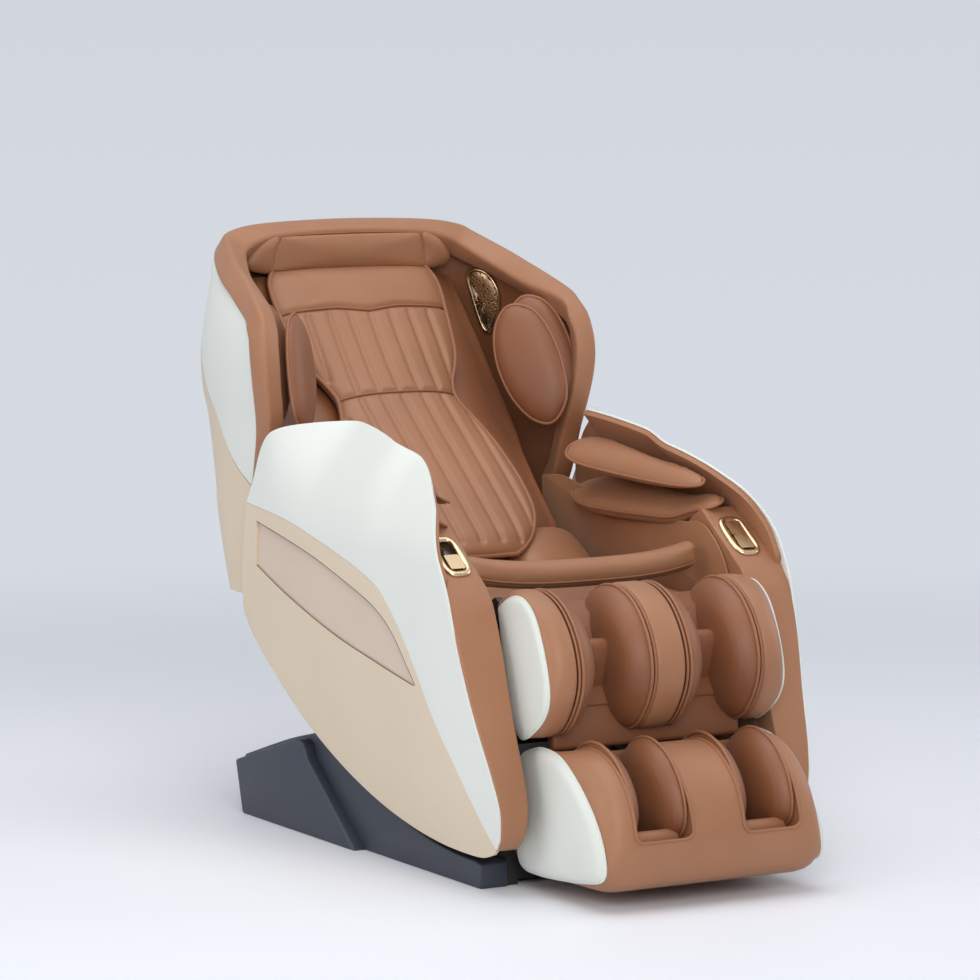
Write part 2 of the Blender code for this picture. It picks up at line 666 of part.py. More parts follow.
for side, sign in SIDES:
    shield_bottom = [(y, z + SKIN_GAP) for y, z in SHIELD_SEAM]
    shell(f"arm_shield_{side}", arm_rows(shield_bottom, SHIELD_TOP, 22, 6, sign),
          SHIELD_WALL, "white", seat, outward_x(sign))
    panel = shell(f"arm_panel_{side}", arm_rows(PANEL_BOTTOM, SHIELD_SEAM, 22, 5, sign),
                  PANEL_WALL, "beige", seat, outward_x(sign))
    recess = smooth_loop(RECESS_OUTLINE, 2)
    cut(panel, loft(f"recess_{side}", [[(sign * (shield_x(y, z) - RECESS_DEPTH), y, z) for y, z in recess],
                                       [(sign * (ARM_WIDE + OVERRUN), y, z) for y, z in recess]], None, seat))
    arm_block(f"arm_body_{side}", core_outline, ARM_INNER, PANEL_WALL + SKIN_GAP, "dark_leather", sign)
    arm_block(f"arm_band_{side}", band_outline, BAND_INNER, PANEL_WALL + SKIN_GAP, "leather", sign)
    pad(f"arm_pad_lower_{side}", LOWER_PAD_HALF,
        (sign * (ARM_WIDE - LOWER_PAD_EDGE), LOWER_PAD_Y, ARM_TOP + GAP + LOWER_PAD_HALF[2]),
        "leather", seat, power=(0.6, 0.5))
    pad(f"arm_pad_upper_{side}", UPPER_PAD_HALF,
        (sign * (ARM_WIDE - UPPER_PAD_EDGE), UPPER_PAD_Y, ARM_TOP + UPPER_PAD_RISE),
        "leather", seat, tilt=Matrix.Rotation(-sign * UPPER_PAD_ROLL, 4, "Y"), power=(0.7, 0.6))
    bezel_steps = ((0, GAP), (0, BEZEL_HEIGHT / 2), (BEZEL_CHAMFER, BEZEL_HEIGHT))
    bezel = loft(f"control_bezel_{side}",
                 [console_ring(sign * BEZEL_X, 0, BEZEL_WIDTH / 2 - inset, BEZEL_LENGTH / 2 - inset, up)
                  for inset, up in bezel_steps], "gold", seat)
    cut(bezel, loft(f"bezel_hole_{side}",
                    [console_ring(sign * BEZEL_X, 0, HOLE_HALF_WIDTH, HOLE_HALF_LENGTH, -OVERRUN, 0.2),
                     console_ring(sign * BEZEL_X, 0, HOLE_HALF_WIDTH, HOLE_HALF_LENGTH, OVERRUN, 0.2)],
                    None, seat))
    for key, run in KEYS[side]:
        carrier = make_body(f"{key}_press", console_place(sign * BEZEL_X, run, 0), seat)
        loft(key, [console_ring(sign * BEZEL_X, run, HOLE_HALF_WIDTH - 2.5 * KEY_GAP, KEY_LENGTH, up, 0.2, 24)
                   for up in (KEY_TRAVEL + 2 * GAP, BEZEL_HEIGHT + KEY_PROUD)], "gold", carrier)

# Backrest shell: plan sections from wing edge to wing edge round the rear, by height
# Each row is Z, half width at the wing edge, Y of the wing edge, Y of the rear

BACK_LEVELS = smooth([
    (COVER_BOTTOM, 0.322, 0.445, 0.585), (0.50, 0.328, 0.42, 0.630), (0.58, 0.333, 0.39, 0.672),
    (0.64, 0.336, 0.345, 0.698), (0.753, 0.343, 0.308, 0.733), (0.815, 0.355, 0.295, 0.744),
    (0.887, 0.362, 0.292, 0.738), (0.947, 0.357, 0.312, 0.722), (0.989, 0.345, 0.361, 0.708),
    (1.021, 0.329, 0.437, 0.697), (1.051, 0.31, 0.529, 0.684), (1.088, 0.272, 0.625, 0.668),
    (HOOD_TOP, 0.245, 0.634, 0.663)], 5)
SEAM_HEIGHTS = ((0.30, 0.628), (0.345, 0.635), (0.396, 0.651), (0.479, 0.706), (0.555, 0.812),
                (0.61, 0.90), (0.66, 0.95), (0.72, 0.968), (0.80, 0.97))


def back_point(turn, z):
    """A point of the back shell: turn runs from 0 at the right wing edge to pi at the left."""
    half_width, front, rear = read_table(BACK_LEVELS, z)
    across = math.copysign(abs(math.cos(turn)) ** (2 / PLAN_POWER), math.cos(turn))
    back = max(math.sin(turn), 0.0) ** (2 / PLAN_POWER)
    return Vector((half_width * across, front + (rear - front) * back, z))


def seam_height(turn):
    """Height of the seam between hood and back cover at a turn."""
    z = 0.8
    for _ in range(40):
        z = 0.5 * z + 0.5 * read_table(SEAM_HEIGHTS, back_point(turn, z).y)[0]
    return z


def back_inset(turn, z, depth):
    """A point at a depth inside the back shell."""
    small = 1e-3
    turned_by = back_point(min(turn + small, math.pi), z) - back_point(max(turn - small, 0), z)
    raised_by = back_point(turn, z + small) - back_point(turn, z - small)
    inward = turned_by.cross(raised_by).normalized()
    to_middle = Vector((0, 0.5, z)) - back_point(turn, z)
    if inward.dot(to_middle) < 0:
        inward.negate()
    return back_point(turn, z) + inward * depth


def outward_back(place):
    return place - Vector((0, 0.45, place.z))


TURN_STEPS = 22
HOOD_STEPS = 6
COVER_STEPS = 5
turns = [math.pi * step / TURN_STEPS for step in range(TURN_STEPS + 1)]
hood_rows = []
cover_rows = []
for step in range(HOOD_STEPS + 1):
    share = step / HOOD_STEPS
    hood_rows.append([back_point(t, (seam_height(t) + SEAM_GAP) * (1 - share) + HOOD_TOP * share)
                      for t in turns])
for step in range(COVER_STEPS + 1):
    share = step / COVER_STEPS
    cover_rows.append([back_point(t, COVER_BOTTOM * (1 - share) + seam_height(t) * share) for t in turns])
shell("hood_shell", hood_rows, HOOD_WALL, "white", backrest, outward_back)
shell("back_cover", cover_rows, HOOD_WALL, "beige", backrest, outward_back)

# Hood rim: one padded tube up the left wing, over the top and down the right wing
rim_side = []
for z in (0.66, 0.72, 0.78, 0.84, 0.895, 0.94, 0.975):
    half_width, front, _ = read_table(BACK_LEVELS, z)
    rim_side.append((half_width - HOOD_WALL - RIM_RADIUS - 0.005, front + RIM_RADIUS + 0.004, z))
rim_side += [(0.295, 0.452, 1.002), (0.272, 0.545, 1.028), (0.235, 0.600, 1.055), (0.16, 0.619, 1.084)]
rim_path = [(-x, y, z) for x, y, z in rim_side] + [(0, 0.626, 1.096)] + rim_side[::-1]
rim_curve = bpy.data.curves.new("hood_rim", "CURVE")
rim_curve.dimensions = "3D"
rim_curve.bevel_depth = RIM_RADIUS
rim_curve.bevel_resolution = 2
rim_curve.use_fill_caps = True
rim_points = smooth(rim_path, 2)
rim_line = rim_curve.splines.new("POLY")
rim_line.points.add(len(rim_points) - 1)
for point, place in zip(rim_line.points, rim_points):
    point.co = (*place, 1)
rim_guide = bpy.data.objects.new("rim_guide", rim_curve)
helpers.objects.link(rim_guide)
bpy.context.view_layer.update()
rim_mesh = bpy.data.meshes.new_from_object(
    rim_guide.evaluated_get(bpy.context.evaluated_depsgraph_get()))
bpy.data.objects.remove(rim_guide)
rim_bm = bmesh.new()
rim_bm.from_mesh(rim_mesh)
bmesh.ops.remove_doubles(rim_bm, verts=rim_bm.verts, dist=1e-6)
from_bmesh("hood_rim", rim_bm, "leather", backrest)

# Hood lining: the padded inner wall behind the rim
LINING_LOW = 0.66
LINING_HIGH = 0.98


def lining_start(z):
    """Turn at which the lining starts, just behind the rim tube."""
    _, front, rear = read_table(BACK_LEVELS, z)
    share = (2 * RIM_RADIUS + 0.014) / (rear - front)
    return math.asin(min(share, 1.0) ** (PLAN_POWER / 2))


lining_rows = []
for step in range(6):
    z = LINING_LOW + (LINING_HIGH - LINING_LOW) * step / 5
    first = lining_start(z)
    lining_rows.append([back_inset(first + (math.pi - 2 * first) * n / TURN_STEPS, z, LINING_INSET)
                        for n in range(TURN_STEPS + 1)])
shell("hood_lining", lining_rows, LINING_WALL, "dark_leather", backrest, outward_back)

# Back frame: a window frame with two guide rails in front and pivot plates below


def rail_place(x, up, out):
    """A point by its X, its run up the rails and its distance in front of the rail axes."""
    y, z = along(along(RAIL_POINT, RAIL_UP, up), RAIL_OUT, out)
    return Vector((x, y, z))


def rail_box(name, x_range, up_range, out_range, finish, body):
    """A box square to the rails."""
    rings = []
    for up in up_range:
        rings.append([rail_place(x, up, out) for x, out in (
            (x_range[0], out_range[0]), (x_range[1], out_range[0]),
            (x_range[1], out_range[1]), (x_range[0], out_range[1]))])
    return loft(name, rings, finish, body)


frame_front = -RAIL_RADIUS + 0.002
frame_rear = frame_front - FRAME_THICKNESS
back_frame = rail_box("back_frame", (-FRAME_HALF_WIDTH, FRAME_HALF_WIDTH), (RAIL_LOW, RAIL_HIGH),
                      (frame_rear, frame_front), "steel", backrest)
window_half = RAIL_X - RAIL_RADIUS - 0.004
cut(back_frame, rail_box("frame_window", (-window_half, window_half),
                         (RAIL_LOW + FRAME_BAR, RAIL_HIGH - FRAME_BAR),
                         (frame_rear - OVERRUN, frame_front + OVERRUN), None, backrest))
PIVOT_PLATE_INNER = PLATE_INNER - SLIDE_GAP - PLATE_WIDTH
frame_foot = rail_place(0, RAIL_LOW + 0.03, (frame_rear + frame_front) / 2)
pivot_plate_outline = [(RECLINE_PIVOT[0] - EAR, RECLINE_PIVOT[1] + 0.01),
                       (RECLINE_PIVOT[0] - 0.008, RECLINE_PIVOT[1] - EAR),
                       (RECLINE_PIVOT[0] + EAR, RECLINE_PIVOT[1] - 0.008),
                       (frame_foot.y + 0.03, frame_foot.z - 0.01),
                       (frame_foot.y + 0.02, frame_foot.z + 0.05),
                       (frame_foot.y - 0.02, frame_foot.z + 0.03)]
LUG_INNER = 0.19
LUG_LAP = 0.004
for side, sign in SIDES:
    join(back_frame, bar(f"rail_{side}", rail_place(sign * RAIL_X, RAIL_LOW + 0.01, 0),
                         rail_place(sign * RAIL_X, RAIL_HIGH - 0.01, 0), RAIL_RADIUS, None, backrest, 12))
    arm_plate = plate(f"pivot_plate_{side}", pivot_plate_outline,
                      (sign * PIVOT_PLATE_INNER, sign * (PIVOT_PLATE_INNER + PLATE_WIDTH)), None, backrest)
    lug_reach = sorted((sign * LUG_INNER, sign * (PIVOT_PLATE_INNER + LUG_LAP)))
    join(back_frame, box(f"frame_lug_{side}",
                         (lug_reach[0], frame_foot.y - FRAME_THICKNESS, frame_foot.z),
                         (lug_reach[1], frame_foot.y + FRAME_THICKNESS, frame_foot.z + 0.02),
                         None, backrest), arm_plate)
    cut(back_frame, bar(f"recline_bore_{side}", (sign * (PIVOT_PLATE_INNER - OVERRUN), *RECLINE_PIVOT),
                        (sign * (PIVOT_PLATE_INNER + PLATE_WIDTH + OVERRUN), *RECLINE_PIVOT),
                        PIN_RADIUS + PIN_CLEARANCE, None, backrest))

# Posts outside the rails carry the back pad
POST_UP = 0.15
POST_HALF = 0.02
POST_X = (0.172, 0.194)
POST_OUT = 0.0466
for side, sign in SIDES:
    join(back_frame, rail_box(f"pad_post_{side}", sorted(sign * x for x in POST_X),
                              (POST_UP - POST_HALF, POST_UP + POST_HALF),
                              (frame_front - LUG_LAP, POST_OUT), None, backrest))

# Recline lever hangs from a cross tube between the pivot plates, just above the pins
LEVER_TUBE = (RECLINE_PIVOT[0] + 0.022, RECLINE_PIVOT[1] + 0.035)
LEVER_TUBE_RADIUS = 0.009
LEVER_HALF = 0.008
lever_face = LEVER_TIP[0] - LEVER_REACH
tube_half = PIVOT_PLATE_INNER + LUG_LAP
join(back_frame, bar("lever_tube", (-tube_half, *LEVER_TUBE), (tube_half, *LEVER_TUBE),
                     LEVER_TUBE_RADIUS, None, backrest, 12))
lever_outline = [(LEVER_TUBE[0] - 0.012, LEVER_TUBE[1] + 0.002), (lever_face, LEVER_TIP[1] + 0.012),
                 (lever_face, LEVER_TIP[1] - 0.016), (LEVER_TIP[0] + 0.012, LEVER_TIP[1] - 0.016),
                 (LEVER_TUBE[0] + 0.012, LEVER_TUBE[1] + 0.002)]
lever_range = (RECLINE_ACTUATOR_X - LEVER_HALF, RECLINE_ACTUATOR_X + LEVER_HALF)
join(back_frame, plate("lever", lever_outline, lever_range, None, backrest))

# Spreader bar carries the hood on the frame
SPREADER_UP = RAIL_HIGH - FRAME_BAR / 2
SPREADER_CLEAR = 0.0145
spreader_place = rail_place(0, SPREADER_UP, frame_rear - 0.006)


def lining_half_width(y, z):
    """Half width between the hood linings at a point inside the backrest."""
    half_width, front, rear = read_table(BACK_LEVELS, z)
    turn = math.asin(((y - front) / (rear - front)) ** (PLAN_POWER / 2))
    return back_inset(turn, z, LINING_INSET + LINING_WALL).x


spreader_reach = min(lining_half_width(spreader_place.y + dy, spreader_place.z + dz)
                     for dy in (-0.01, 0.01) for dz in (-0.01, 0.01)) - SPREADER_CLEAR
join(back_frame, bar("spreader", (-spreader_reach, spreader_place.y, spreader_place.z),
                     (spreader_reach, spreader_place.y, spreader_place.z), 0.009, None, backrest, 12))

# Massage carriage between the rails, with its lead screw and rocking roller frame
CARRIAGE_UP = -0.02
carriage_body = make_body("carriage_slide", rail_place(0, CARRIAGE_UP, 0), backrest)
carriage_half = RAIL_X - RAIL_RADIUS - SLIDE_GAP
carriage_low = CARRIAGE_UP - CARRIAGE_LENGTH / 2
carriage_high = CARRIAGE_UP + CARRIAGE_LENGTH / 2
carriage = rail_box("massage_carriage", (-carriage_half, carriage_half), (carriage_low, carriage_high),
                    (frame_front + GAP * 2, frame_front + CARRIAGE_DEPTH * 0.6), "black", carriage_body)
screw_body = make_body("screw_axis", rail_place(0, 0, (frame_rear + frame_front) / 2 - 0.001), backrest)
screw_out = (frame_rear + frame_front) / 2 - 0.001
bar("lead_screw", rail_place(0, RAIL_LOW + FRAME_BAR + GAP * 2, screw_out),
    rail_place(0, RAIL_HIGH - FRAME_BAR - GAP * 2, screw_out), SCREW_RADIUS, "steel", screw_body)

ROCKER_OUT = frame_front + CARRIAGE_DEPTH * 0.6 + ROCKER_GAP
rocker_axis = rail_place(0, CARRIAGE_UP, ROCKER_OUT)
rocker_body = make_body("rocker_axis", rocker_axis, carriage_body)
LUG_X = 0.10
LUG_WIDTH = 0.012
for side, sign in SIDES:
    lug = sorted((sign * LUG_X, sign * (LUG_X + LUG_WIDTH)))
    join(carriage, rail_box(f"rocker_lug_{side}", lug, (CARRIAGE_UP - 0.012, CARRIAGE_UP + 0.012),
                            (frame_front + 0.004, ROCKER_OUT + 0.010), None, carriage_body))
    cut(carriage, bar(f"rocker_bore_{side}", (sign * (LUG_X - OVERRUN), *rocker_axis.yz),
                      (sign * (LUG_X + OVERRUN * 2), *rocker_axis.yz), ROCKER_PIN + PIN_CLEARANCE,
                      None, carriage_body))
rocker_half = LUG_X + LUG_WIDTH - 0.001
rocker = bar("knead_rocker", (-rocker_half, *rocker_axis.yz), (rocker_half, *rocker_axis.yz),
             ROCKER_PIN, "steel", rocker_body)
ROCKER_X = 0.075
ROCKER_ARM_HALF = 0.004
ROCKER_ARM_END = 0.009
rocker_reach = ROLLER_SPREAD + ROCKER_ARM_END
for side, sign in SIDES:
    arm_faces = sorted((sign * (ROCKER_X - ROCKER_ARM_HALF), sign * (ROCKER_X + ROCKER_ARM_HALF)))
    join(rocker, rail_box(f"rocker_arm_{side}", arm_faces,
                          (CARRIAGE_UP - rocker_reach, CARRIAGE_UP + rocker_reach),
                          (ROCKER_OUT - 0.004, ROCKER_OUT + 0.010), None, rocker_body))
for label, sign in (("lower", -1), ("upper", 1)):
    centre = rail_place(0, CARRIAGE_UP + sign * ROLLER_SPREAD, ROCKER_OUT + 0.003)
    cut(rocker, bar(f"roller_bore_{label}", (-LUG_X, *centre.yz), (LUG_X, *centre.yz),
                    ROLLER_PIN + PIN_CLEARANCE, None, rocker_body))
    roller_body = make_body(f"{label}_roller_axis", centre, rocker_body)
    half_profile = [(0.0, ROLLER_PIN), (0.035, ROLLER_PIN), (0.038, ROLLER_RADIUS * 0.8),
                    (0.045, ROLLER_RADIUS), (0.062, ROLLER_RADIUS), (0.069, ROLLER_RADIUS * 0.8),
                    (0.0705, ROLLER_PIN), (0.084, ROLLER_PIN)]
    profile = [(-x, r) for x, r in half_profile[:0:-1]] + half_profile
    turned(f"massage_roller_{label}", profile, centre.yz, "black", roller_body)

# Back pad: quilted channels, drawn in at the waist, down to the seat
PAD_CURVE = smooth([(0.075, 0.525), (0.235, 0.652), (0.411, 0.794), (0.518, 0.915), (0.585, 1.005),
                    (0.608, 1.038)], 5)
PAD_WIDTHS = ((0.0, 0.150), (0.12, 0.185), (0.3, 0.190), (0.5, 0.150), (0.58, 0.138), (0.66, 0.152),
              (0.85, 0.172), (1.0, 0.180))
PAD_APRONS = ((0.0, 0.20), (0.15, 0.240), (0.30, 0.243), (0.42, 0.250), (0.5, 0.262), (0.6, 0.270),
              (0.8, 0.262), (1.0, 0.235))


def path_frame(points, share):
    """Place, direction and forward normal on a (Y, Z) path."""
    spaced = spread(points, 101)
    index = min(int(share * 100), 99)
    start, end = spaced[index], spaced[index + 1]
    length = math.dist(start, end)
    run = ((end[0] - start[0]) / length, (end[1] - start[1]) / length)
    part = share * 100 - index
    place = (start[0] + (end[0] - start[0]) * part, start[1] + (end[1] - start[1]) * part)
    return place, run, (-run[1], run[0])


def quilted_pad(name, curve, widths, aprons, thickness, channels, rows, finish, body, crown=0.02):
    """A pad along a (Y, Z) path whose front swells between sewn channels, with a thin apron each side."""
    columns = channels * 3
    rings = []
    for row in range(rows):
        share = row / (rows - 1)
        place, _, front = path_frame(curve, share)
        half_width = read_table(widths, share)[0]
        apron = max(read_table(aprons, share)[0], half_width + APRON_WALL)
        rounding = min(1.0, 0.35 + 4.0 * min(share, 1 - share))
        rear = along(place, front, -thickness * 0.55 * rounding)
        hem = along(rear, front, APRON_WALL * rounding)
        ring = [(-apron, *hem), (-half_width - APRON_WALL / 2, *hem)]
        for column in range(columns + 1):
            u = -1 + 2 * column / columns
            swell = thickness * 0.45 + crown * (1 - u**4)
            swell -= CHANNEL_DEPTH * abs(math.cos(math.pi * channels * (u + 1) / 2)) ** 3
            y, z = along(place, front, swell * rounding)
            ring.append((u * half_width, y, z))
        ring += [(half_width + APRON_WALL / 2, *hem), (apron, *hem)]
        ring += [(u * (apron - APRON_WALL / 3), *rear) for u in (1, 0.5, -0.5, -1)]
        rings.append(ring)
    return loft(name, rings, finish, body)


PAD_DRAW_BACK = 0.0172
PAD_BACK = [along(point, path_frame(PAD_CURVE, number / (len(PAD_CURVE) - 1))[2], -PAD_DRAW_BACK)
            for number, point in enumerate(PAD_CURVE)]
quilted_pad("back_pad", PAD_BACK, PAD_WIDTHS, PAD_APRONS, BACK_PAD_THICKNESS, CHANNEL_COUNT, 15,
            "leather", backrest)

PILLOW_CURVE = smooth([(0.582, 1.052), (0.572, 1.078), (0.571, 1.102)], 4)
PILLOW_WIDTHS = ((0.0, 0.176), (1.0, 0.165))
PILLOW_FRONT = (-0.98, 0.20)
PILLOW_DRAW_BACK = 0.0052
PILLOW_THICKNESS = 0.018
pillow_back = [along(point, PILLOW_FRONT, -PILLOW_DRAW_BACK) for point in PILLOW_CURVE]
quilted_pad("head_pillow", pillow_back, PILLOW_WIDTHS, PILLOW_WIDTHS, PILLOW_THICKNESS, 2, 7,
            "leather", backrest, crown=0.008)

# Shoulder pads and speakers on the wing linings
SPEAKER_Z = 0.955
SPEAKER_TURN = math.radians(34)
SPEAKER_HALF = (0.006, 0.028, 0.050)
SPEAKER_CLEAR = 0.0023
SPEAKER_ROLL = math.radians(25)
SHOULDER_HALF = (0.050, 0.054, 0.104)
SHOULDER_MIDDLE = (0.2762, 0.4110, 0.8683)
SHOULDER_PITCH = math.radians(15)
SHOULDER_TURN = math.radians(47)
for side, sign in SIDES:
    pad(f"shoulder_pad_{side}", SHOULDER_HALF, (sign * SHOULDER_MIDDLE[0], *SHOULDER_MIDDLE[1:]),
        "leather", backrest, power=(0.7, 0.6),
        tilt=Matrix.Rotation(-SHOULDER_PITCH, 4, "X") @ Matrix.Rotation(sign * SHOULDER_TURN, 4, "Z"))
    wall = back_inset(SPEAKER_TURN, SPEAKER_Z, LINING_INSET + LINING_WALL)
    inward = (back_inset(SPEAKER_TURN, SPEAKER_Z, 0.1) - wall).normalized()
    inward.x *= sign
    wall.x *= sign
    facing = inward.to_track_quat("X", "Z").to_matrix().to_4x4()
    pad(f"speaker_{side}", SPEAKER_HALF, wall + inward * (SPEAKER_HALF[0] + SPEAKER_CLEAR), "gold",
        backrest, tilt=facing @ Matrix.Rotation(-sign * SPEAKER_ROLL, 4, "X"),
        power=(0.5, 0.9), segments=(16, 6))

# Leg section: a frame plate behind a calf body with two open wells


def leg_place(x, down, out):
    """A point by its X, its run down the leg axis and its distance in front of the calf's rear face."""
    y, z = along(along(LEG_TOP, LEG_DOWN, down), LEG_OUT, out)
    return Vector((x, y, z))


def leg_box(name, x_range, down_range, out_range, finish, body):
    rings = []
    for down in down_range:
        rings.append([leg_place(x, down, out) for x, out in (
            (x_range[0], out_range[0]), (x_range[1], out_range[0]),
            (x_range[1], out_range[1]), (x_range[0], out_range[1]))])
    return loft(name, rings, finish, body)


CALF_FRONT = smooth([LEG_BOTTOM, (-0.475, 0.279), (-0.53, 0.286), (-0.572, 0.335), (-0.588, 0.39),
                     (-0.573, 0.45), (-0.531, 0.503), (-0.475, 0.53), (-0.42, 0.53), LEG_TOP], 3)
calf_body = plate("calf_body", CALF_FRONT, (-CALF_HALF_WIDTH, CALF_HALF_WIDTH), "leather", legrest)
calf_middle = [sum(values) / len(CALF_FRONT) for values in zip(*CALF_FRONT)]
cover_shape = [toward(point, calf_middle, CALF_COVER_SHRINK) for point in CALF_FRONT]
for side, sign in SIDES:
    well = sorted((sign * WELL_INNER, sign * WELL_OUTER))
    cut(calf_body, leg_box(f"calf_well_{side}", well, (-LEG_LENGTH, 2 * LEG_LENGTH),
                           (WELL_BACK, WELL_BACK + LEG_LENGTH), None, legrest))
    plate(f"calf_cover_{side}", cover_shape,
          (sign * (CALF_HALF_WIDTH + GAP), sign * (CALF_HALF_WIDTH + CALF_COVER)), "white", legrest)


def lining_pad(name, sign, inner, outer, side_wall, back_wall, depth, stations, place, finish, body):
    """A puffed U-shaped pad that lines a well: two cheeks and a back."""
    low, high = inner + GAP, outer - GAP
    rings = []
    for share, run in stations:
        puff = 0.45 + 0.55 * math.sin(math.pi * share) ** 0.6
        cheek = side_wall * puff
        back = back_wall * puff
        reach = depth * (0.6 + 0.4 * math.sin(math.pi * share) ** 0.5)
        middle = (low + high) / 2
        cheek_line = [(0, reach * 0.9), (cheek * 0.3, reach), (cheek * 0.8, reach * 0.95),
                      (cheek, reach * 0.75), (cheek * 1.05, back + 0.02), (cheek * 1.5, back * 1.05)]
        outline = [(low, 0), (high, 0), *[(high - x, out) for x, out in cheek_line], (middle, back * 1.15),
                   *[(low + x, out) for x, out in reversed(cheek_line)]]
        rings.append([place(sign * x, run, out) for x, out in outline])
    return loft(name, rings, finish, body)


CALF_STATIONS = [(n / 8, 0.012 + (LEG_LENGTH - 0.02) * n / 8) for n in range(9)]
for side, sign in SIDES:
    lining_pad(f"calf_pad_{side}", sign, WELL_INNER, WELL_OUTER, CALF_PAD_SIDE, CALF_PAD_BACK,
               CALF_PAD_REACH, CALF_STATIONS,
               lambda x, run, out: leg_place(x, run, WELL_BACK + GAP + out), "leather", legrest)

legrest_frame = leg_box("legrest_frame", (-0.20, 0.20), (0.012, LEG_LENGTH - 0.01), (-GAP - LEG_PLATE, -GAP),
                        "steel", legrest)
BOSS_RUN = (0.15, 0.19)
BOSS_HALF = 0.018
BOSS_BEHIND = 0.016
KNUCKLE = (PLATE_INNER - SLIDE_GAP - PLATE_WIDTH, PLATE_INNER - SLIDE_GAP)
knuckle_outline = [along(LEG_PIVOT, (math.cos(a), math.sin(a)), 0.0135)
                   for a in (math.radians(100), math.radians(45), 0.0, math.radians(-45))]
knuckle_outline += [tuple(leg_place(0, 0.085, -GAP * 2).yz), tuple(leg_place(0, 0.02, -GAP * 2).yz)]
for side, sign in SIDES:
    knuckle = plate(f"knuckle_{side}", knuckle_outline, (sign * KNUCKLE[0], sign * KNUCKLE[1]), None, legrest)
    tongue = leg_box(f"tongue_{side}", sorted((sign * 0.19, sign * (KNUCKLE[0] + 0.004))), (0.04, 0.075),
                     (-0.010, -0.002), None, legrest)
    boss = leg_box(f"rod_boss_{side}", sorted((sign * (ROD_X - BOSS_HALF), sign * (ROD_X + BOSS_HALF))),
                   BOSS_RUN, (-ROD_OFFSET - BOSS_BEHIND, -0.004), None, legrest)
    join(legrest_frame, knuckle, tongue, boss)
    cut(legrest_frame,
        bar(f"leg_bore_{side}", (sign * (KNUCKLE[0] - OVERRUN), *LEG_PIVOT),
            (sign * (KNUCKLE[1] + OVERRUN), *LEG_PIVOT), PIN_RADIUS + PIN_CLEARANCE, None, legrest),
        bar(f"rod_bore_{side}", leg_place(sign * ROD_X, BOSS_RUN[0] - OVERRUN, -ROD_OFFSET),
            leg_place(sign * ROD_X, BOSS_RUN[1] + OVERRUN, -ROD_OFFSET), ROD_RADIUS + SLIDE_GAP,
            None, legrest))

# Foot section: slide rods, shell with two wells, covers, pads and a roller shaft
foot_slide = leg_box("foot_slide", (-ROD_X - 0.02, ROD_X + 0.02), (ROD_END - SLIDE_BAR, ROD_END),
                     (-ROD_OFFSET - 0.014, -ROD_OFFSET + 0.014), "steel", footrest)
for side, sign in SIDES:
    join(foot_slide, bar(f"rod_{side}", leg_place(sign * ROD_X, ROD_START, -ROD_OFFSET),
                         leg_place(sign * ROD_X, ROD_END - SLIDE_BAR / 2, -ROD_OFFSET), ROD_RADIUS,
                         None, footrest, 16))
FOOT_REAR = -0.425
facet_rear = leg_place(0, ROD_END + GAP, -ROD_OFFSET - 0.035)
facet_front = leg_place(0, ROD_END + GAP, -ROD_OFFSET + 0.045)
FOOT_TOP = smooth([tuple(facet_front.yz), (-0.555, 0.259), (-0.61, 0.265), (-0.665, 0.247),
                   (-0.714, 0.203), (-0.739, 0.145), (-0.743, 0.09), (-0.727, 0.047),
                   (-0.69, FOOT_BOTTOM)], 3)
foot_outline = [*FOOT_TOP, (-0.45, FOOT_BOTTOM), (FOOT_REAR, 0.06), tuple(facet_rear.yz)]
foot_shell = plate("foot_shell", foot_outline, (-FOOT_HALF_WIDTH, FOOT_HALF_WIDTH), "leather", footrest)
foot_middle = (-0.585, 0.14)
foot_cover_outline = [toward(point, foot_middle, FOOT_COVER_SHRINK) for point in foot_outline]
FOOT_WELL_OUTLINE = [(FOOT_WELL_REAR, 0.5), (FOOT_WELL_REAR, FOOT_WELL_FLOOR), (-0.655, FOOT_WELL_FLOOR),
                     (-0.685, 0.12), (-0.85, 0.20), (-0.85, 0.5)]
for side, sign in SIDES:
    cut(foot_shell, plate(f"foot_well_{side}", FOOT_WELL_OUTLINE,
                          (sign * FOOT_WELL_INNER, sign * FOOT_WELL_OUTER), None, footrest))
    cover_faces = (sign * (FOOT_HALF_WIDTH + GAP), sign * (FOOT_HALF_WIDTH + FOOT_COVER))
    cover_piece = plate(f"foot_cover_{side}", foot_cover_outline, cover_faces, "white", footrest)
    for vert in cover_piece.data.vertices:
        if abs(vert.co.x) > FOOT_HALF_WIDTH + FOOT_COVER / 2:
            vert.co.y += (foot_middle[0] - vert.co.y) * FOOT_COVER_DOME
            vert.co.z += (foot_middle[1] - vert.co.z) * FOOT_COVER_DOME
ROLLER_POCKET = 0.032
POCKET_X = 0.16
cut(foot_shell, box("roller_pocket", (-POCKET_X, FOOT_ROLLER[0] - ROLLER_POCKET, FOOT_ROLLER[1] - 0.027),
                    (POCKET_X, FOOT_ROLLER[0] + ROLLER_POCKET, FOOT_WELL_FLOOR + 0.02), None, footrest))
roller_axis = make_body("foot_roller_axis", (0, *FOOT_ROLLER), footrest)
FOOT_SHAFT = 0.007
shoulder_radius = FOOT_ROLLER_RADIUS * 0.85
shaft_profile = [(0.0, FOOT_SHAFT), (0.058, FOOT_SHAFT), (0.06, shoulder_radius), (0.068, FOOT_ROLLER_RADIUS),
                 (0.132, FOOT_ROLLER_RADIUS), (0.14, shoulder_radius), (0.142, FOOT_SHAFT),
                 (POCKET_X - SLIDE_GAP, FOOT_SHAFT)]
turned("foot_roller_shaft", [(-x, r) for x, r in shaft_profile[:0:-1]] + shaft_profile, FOOT_ROLLER,
       "black", roller_axis)

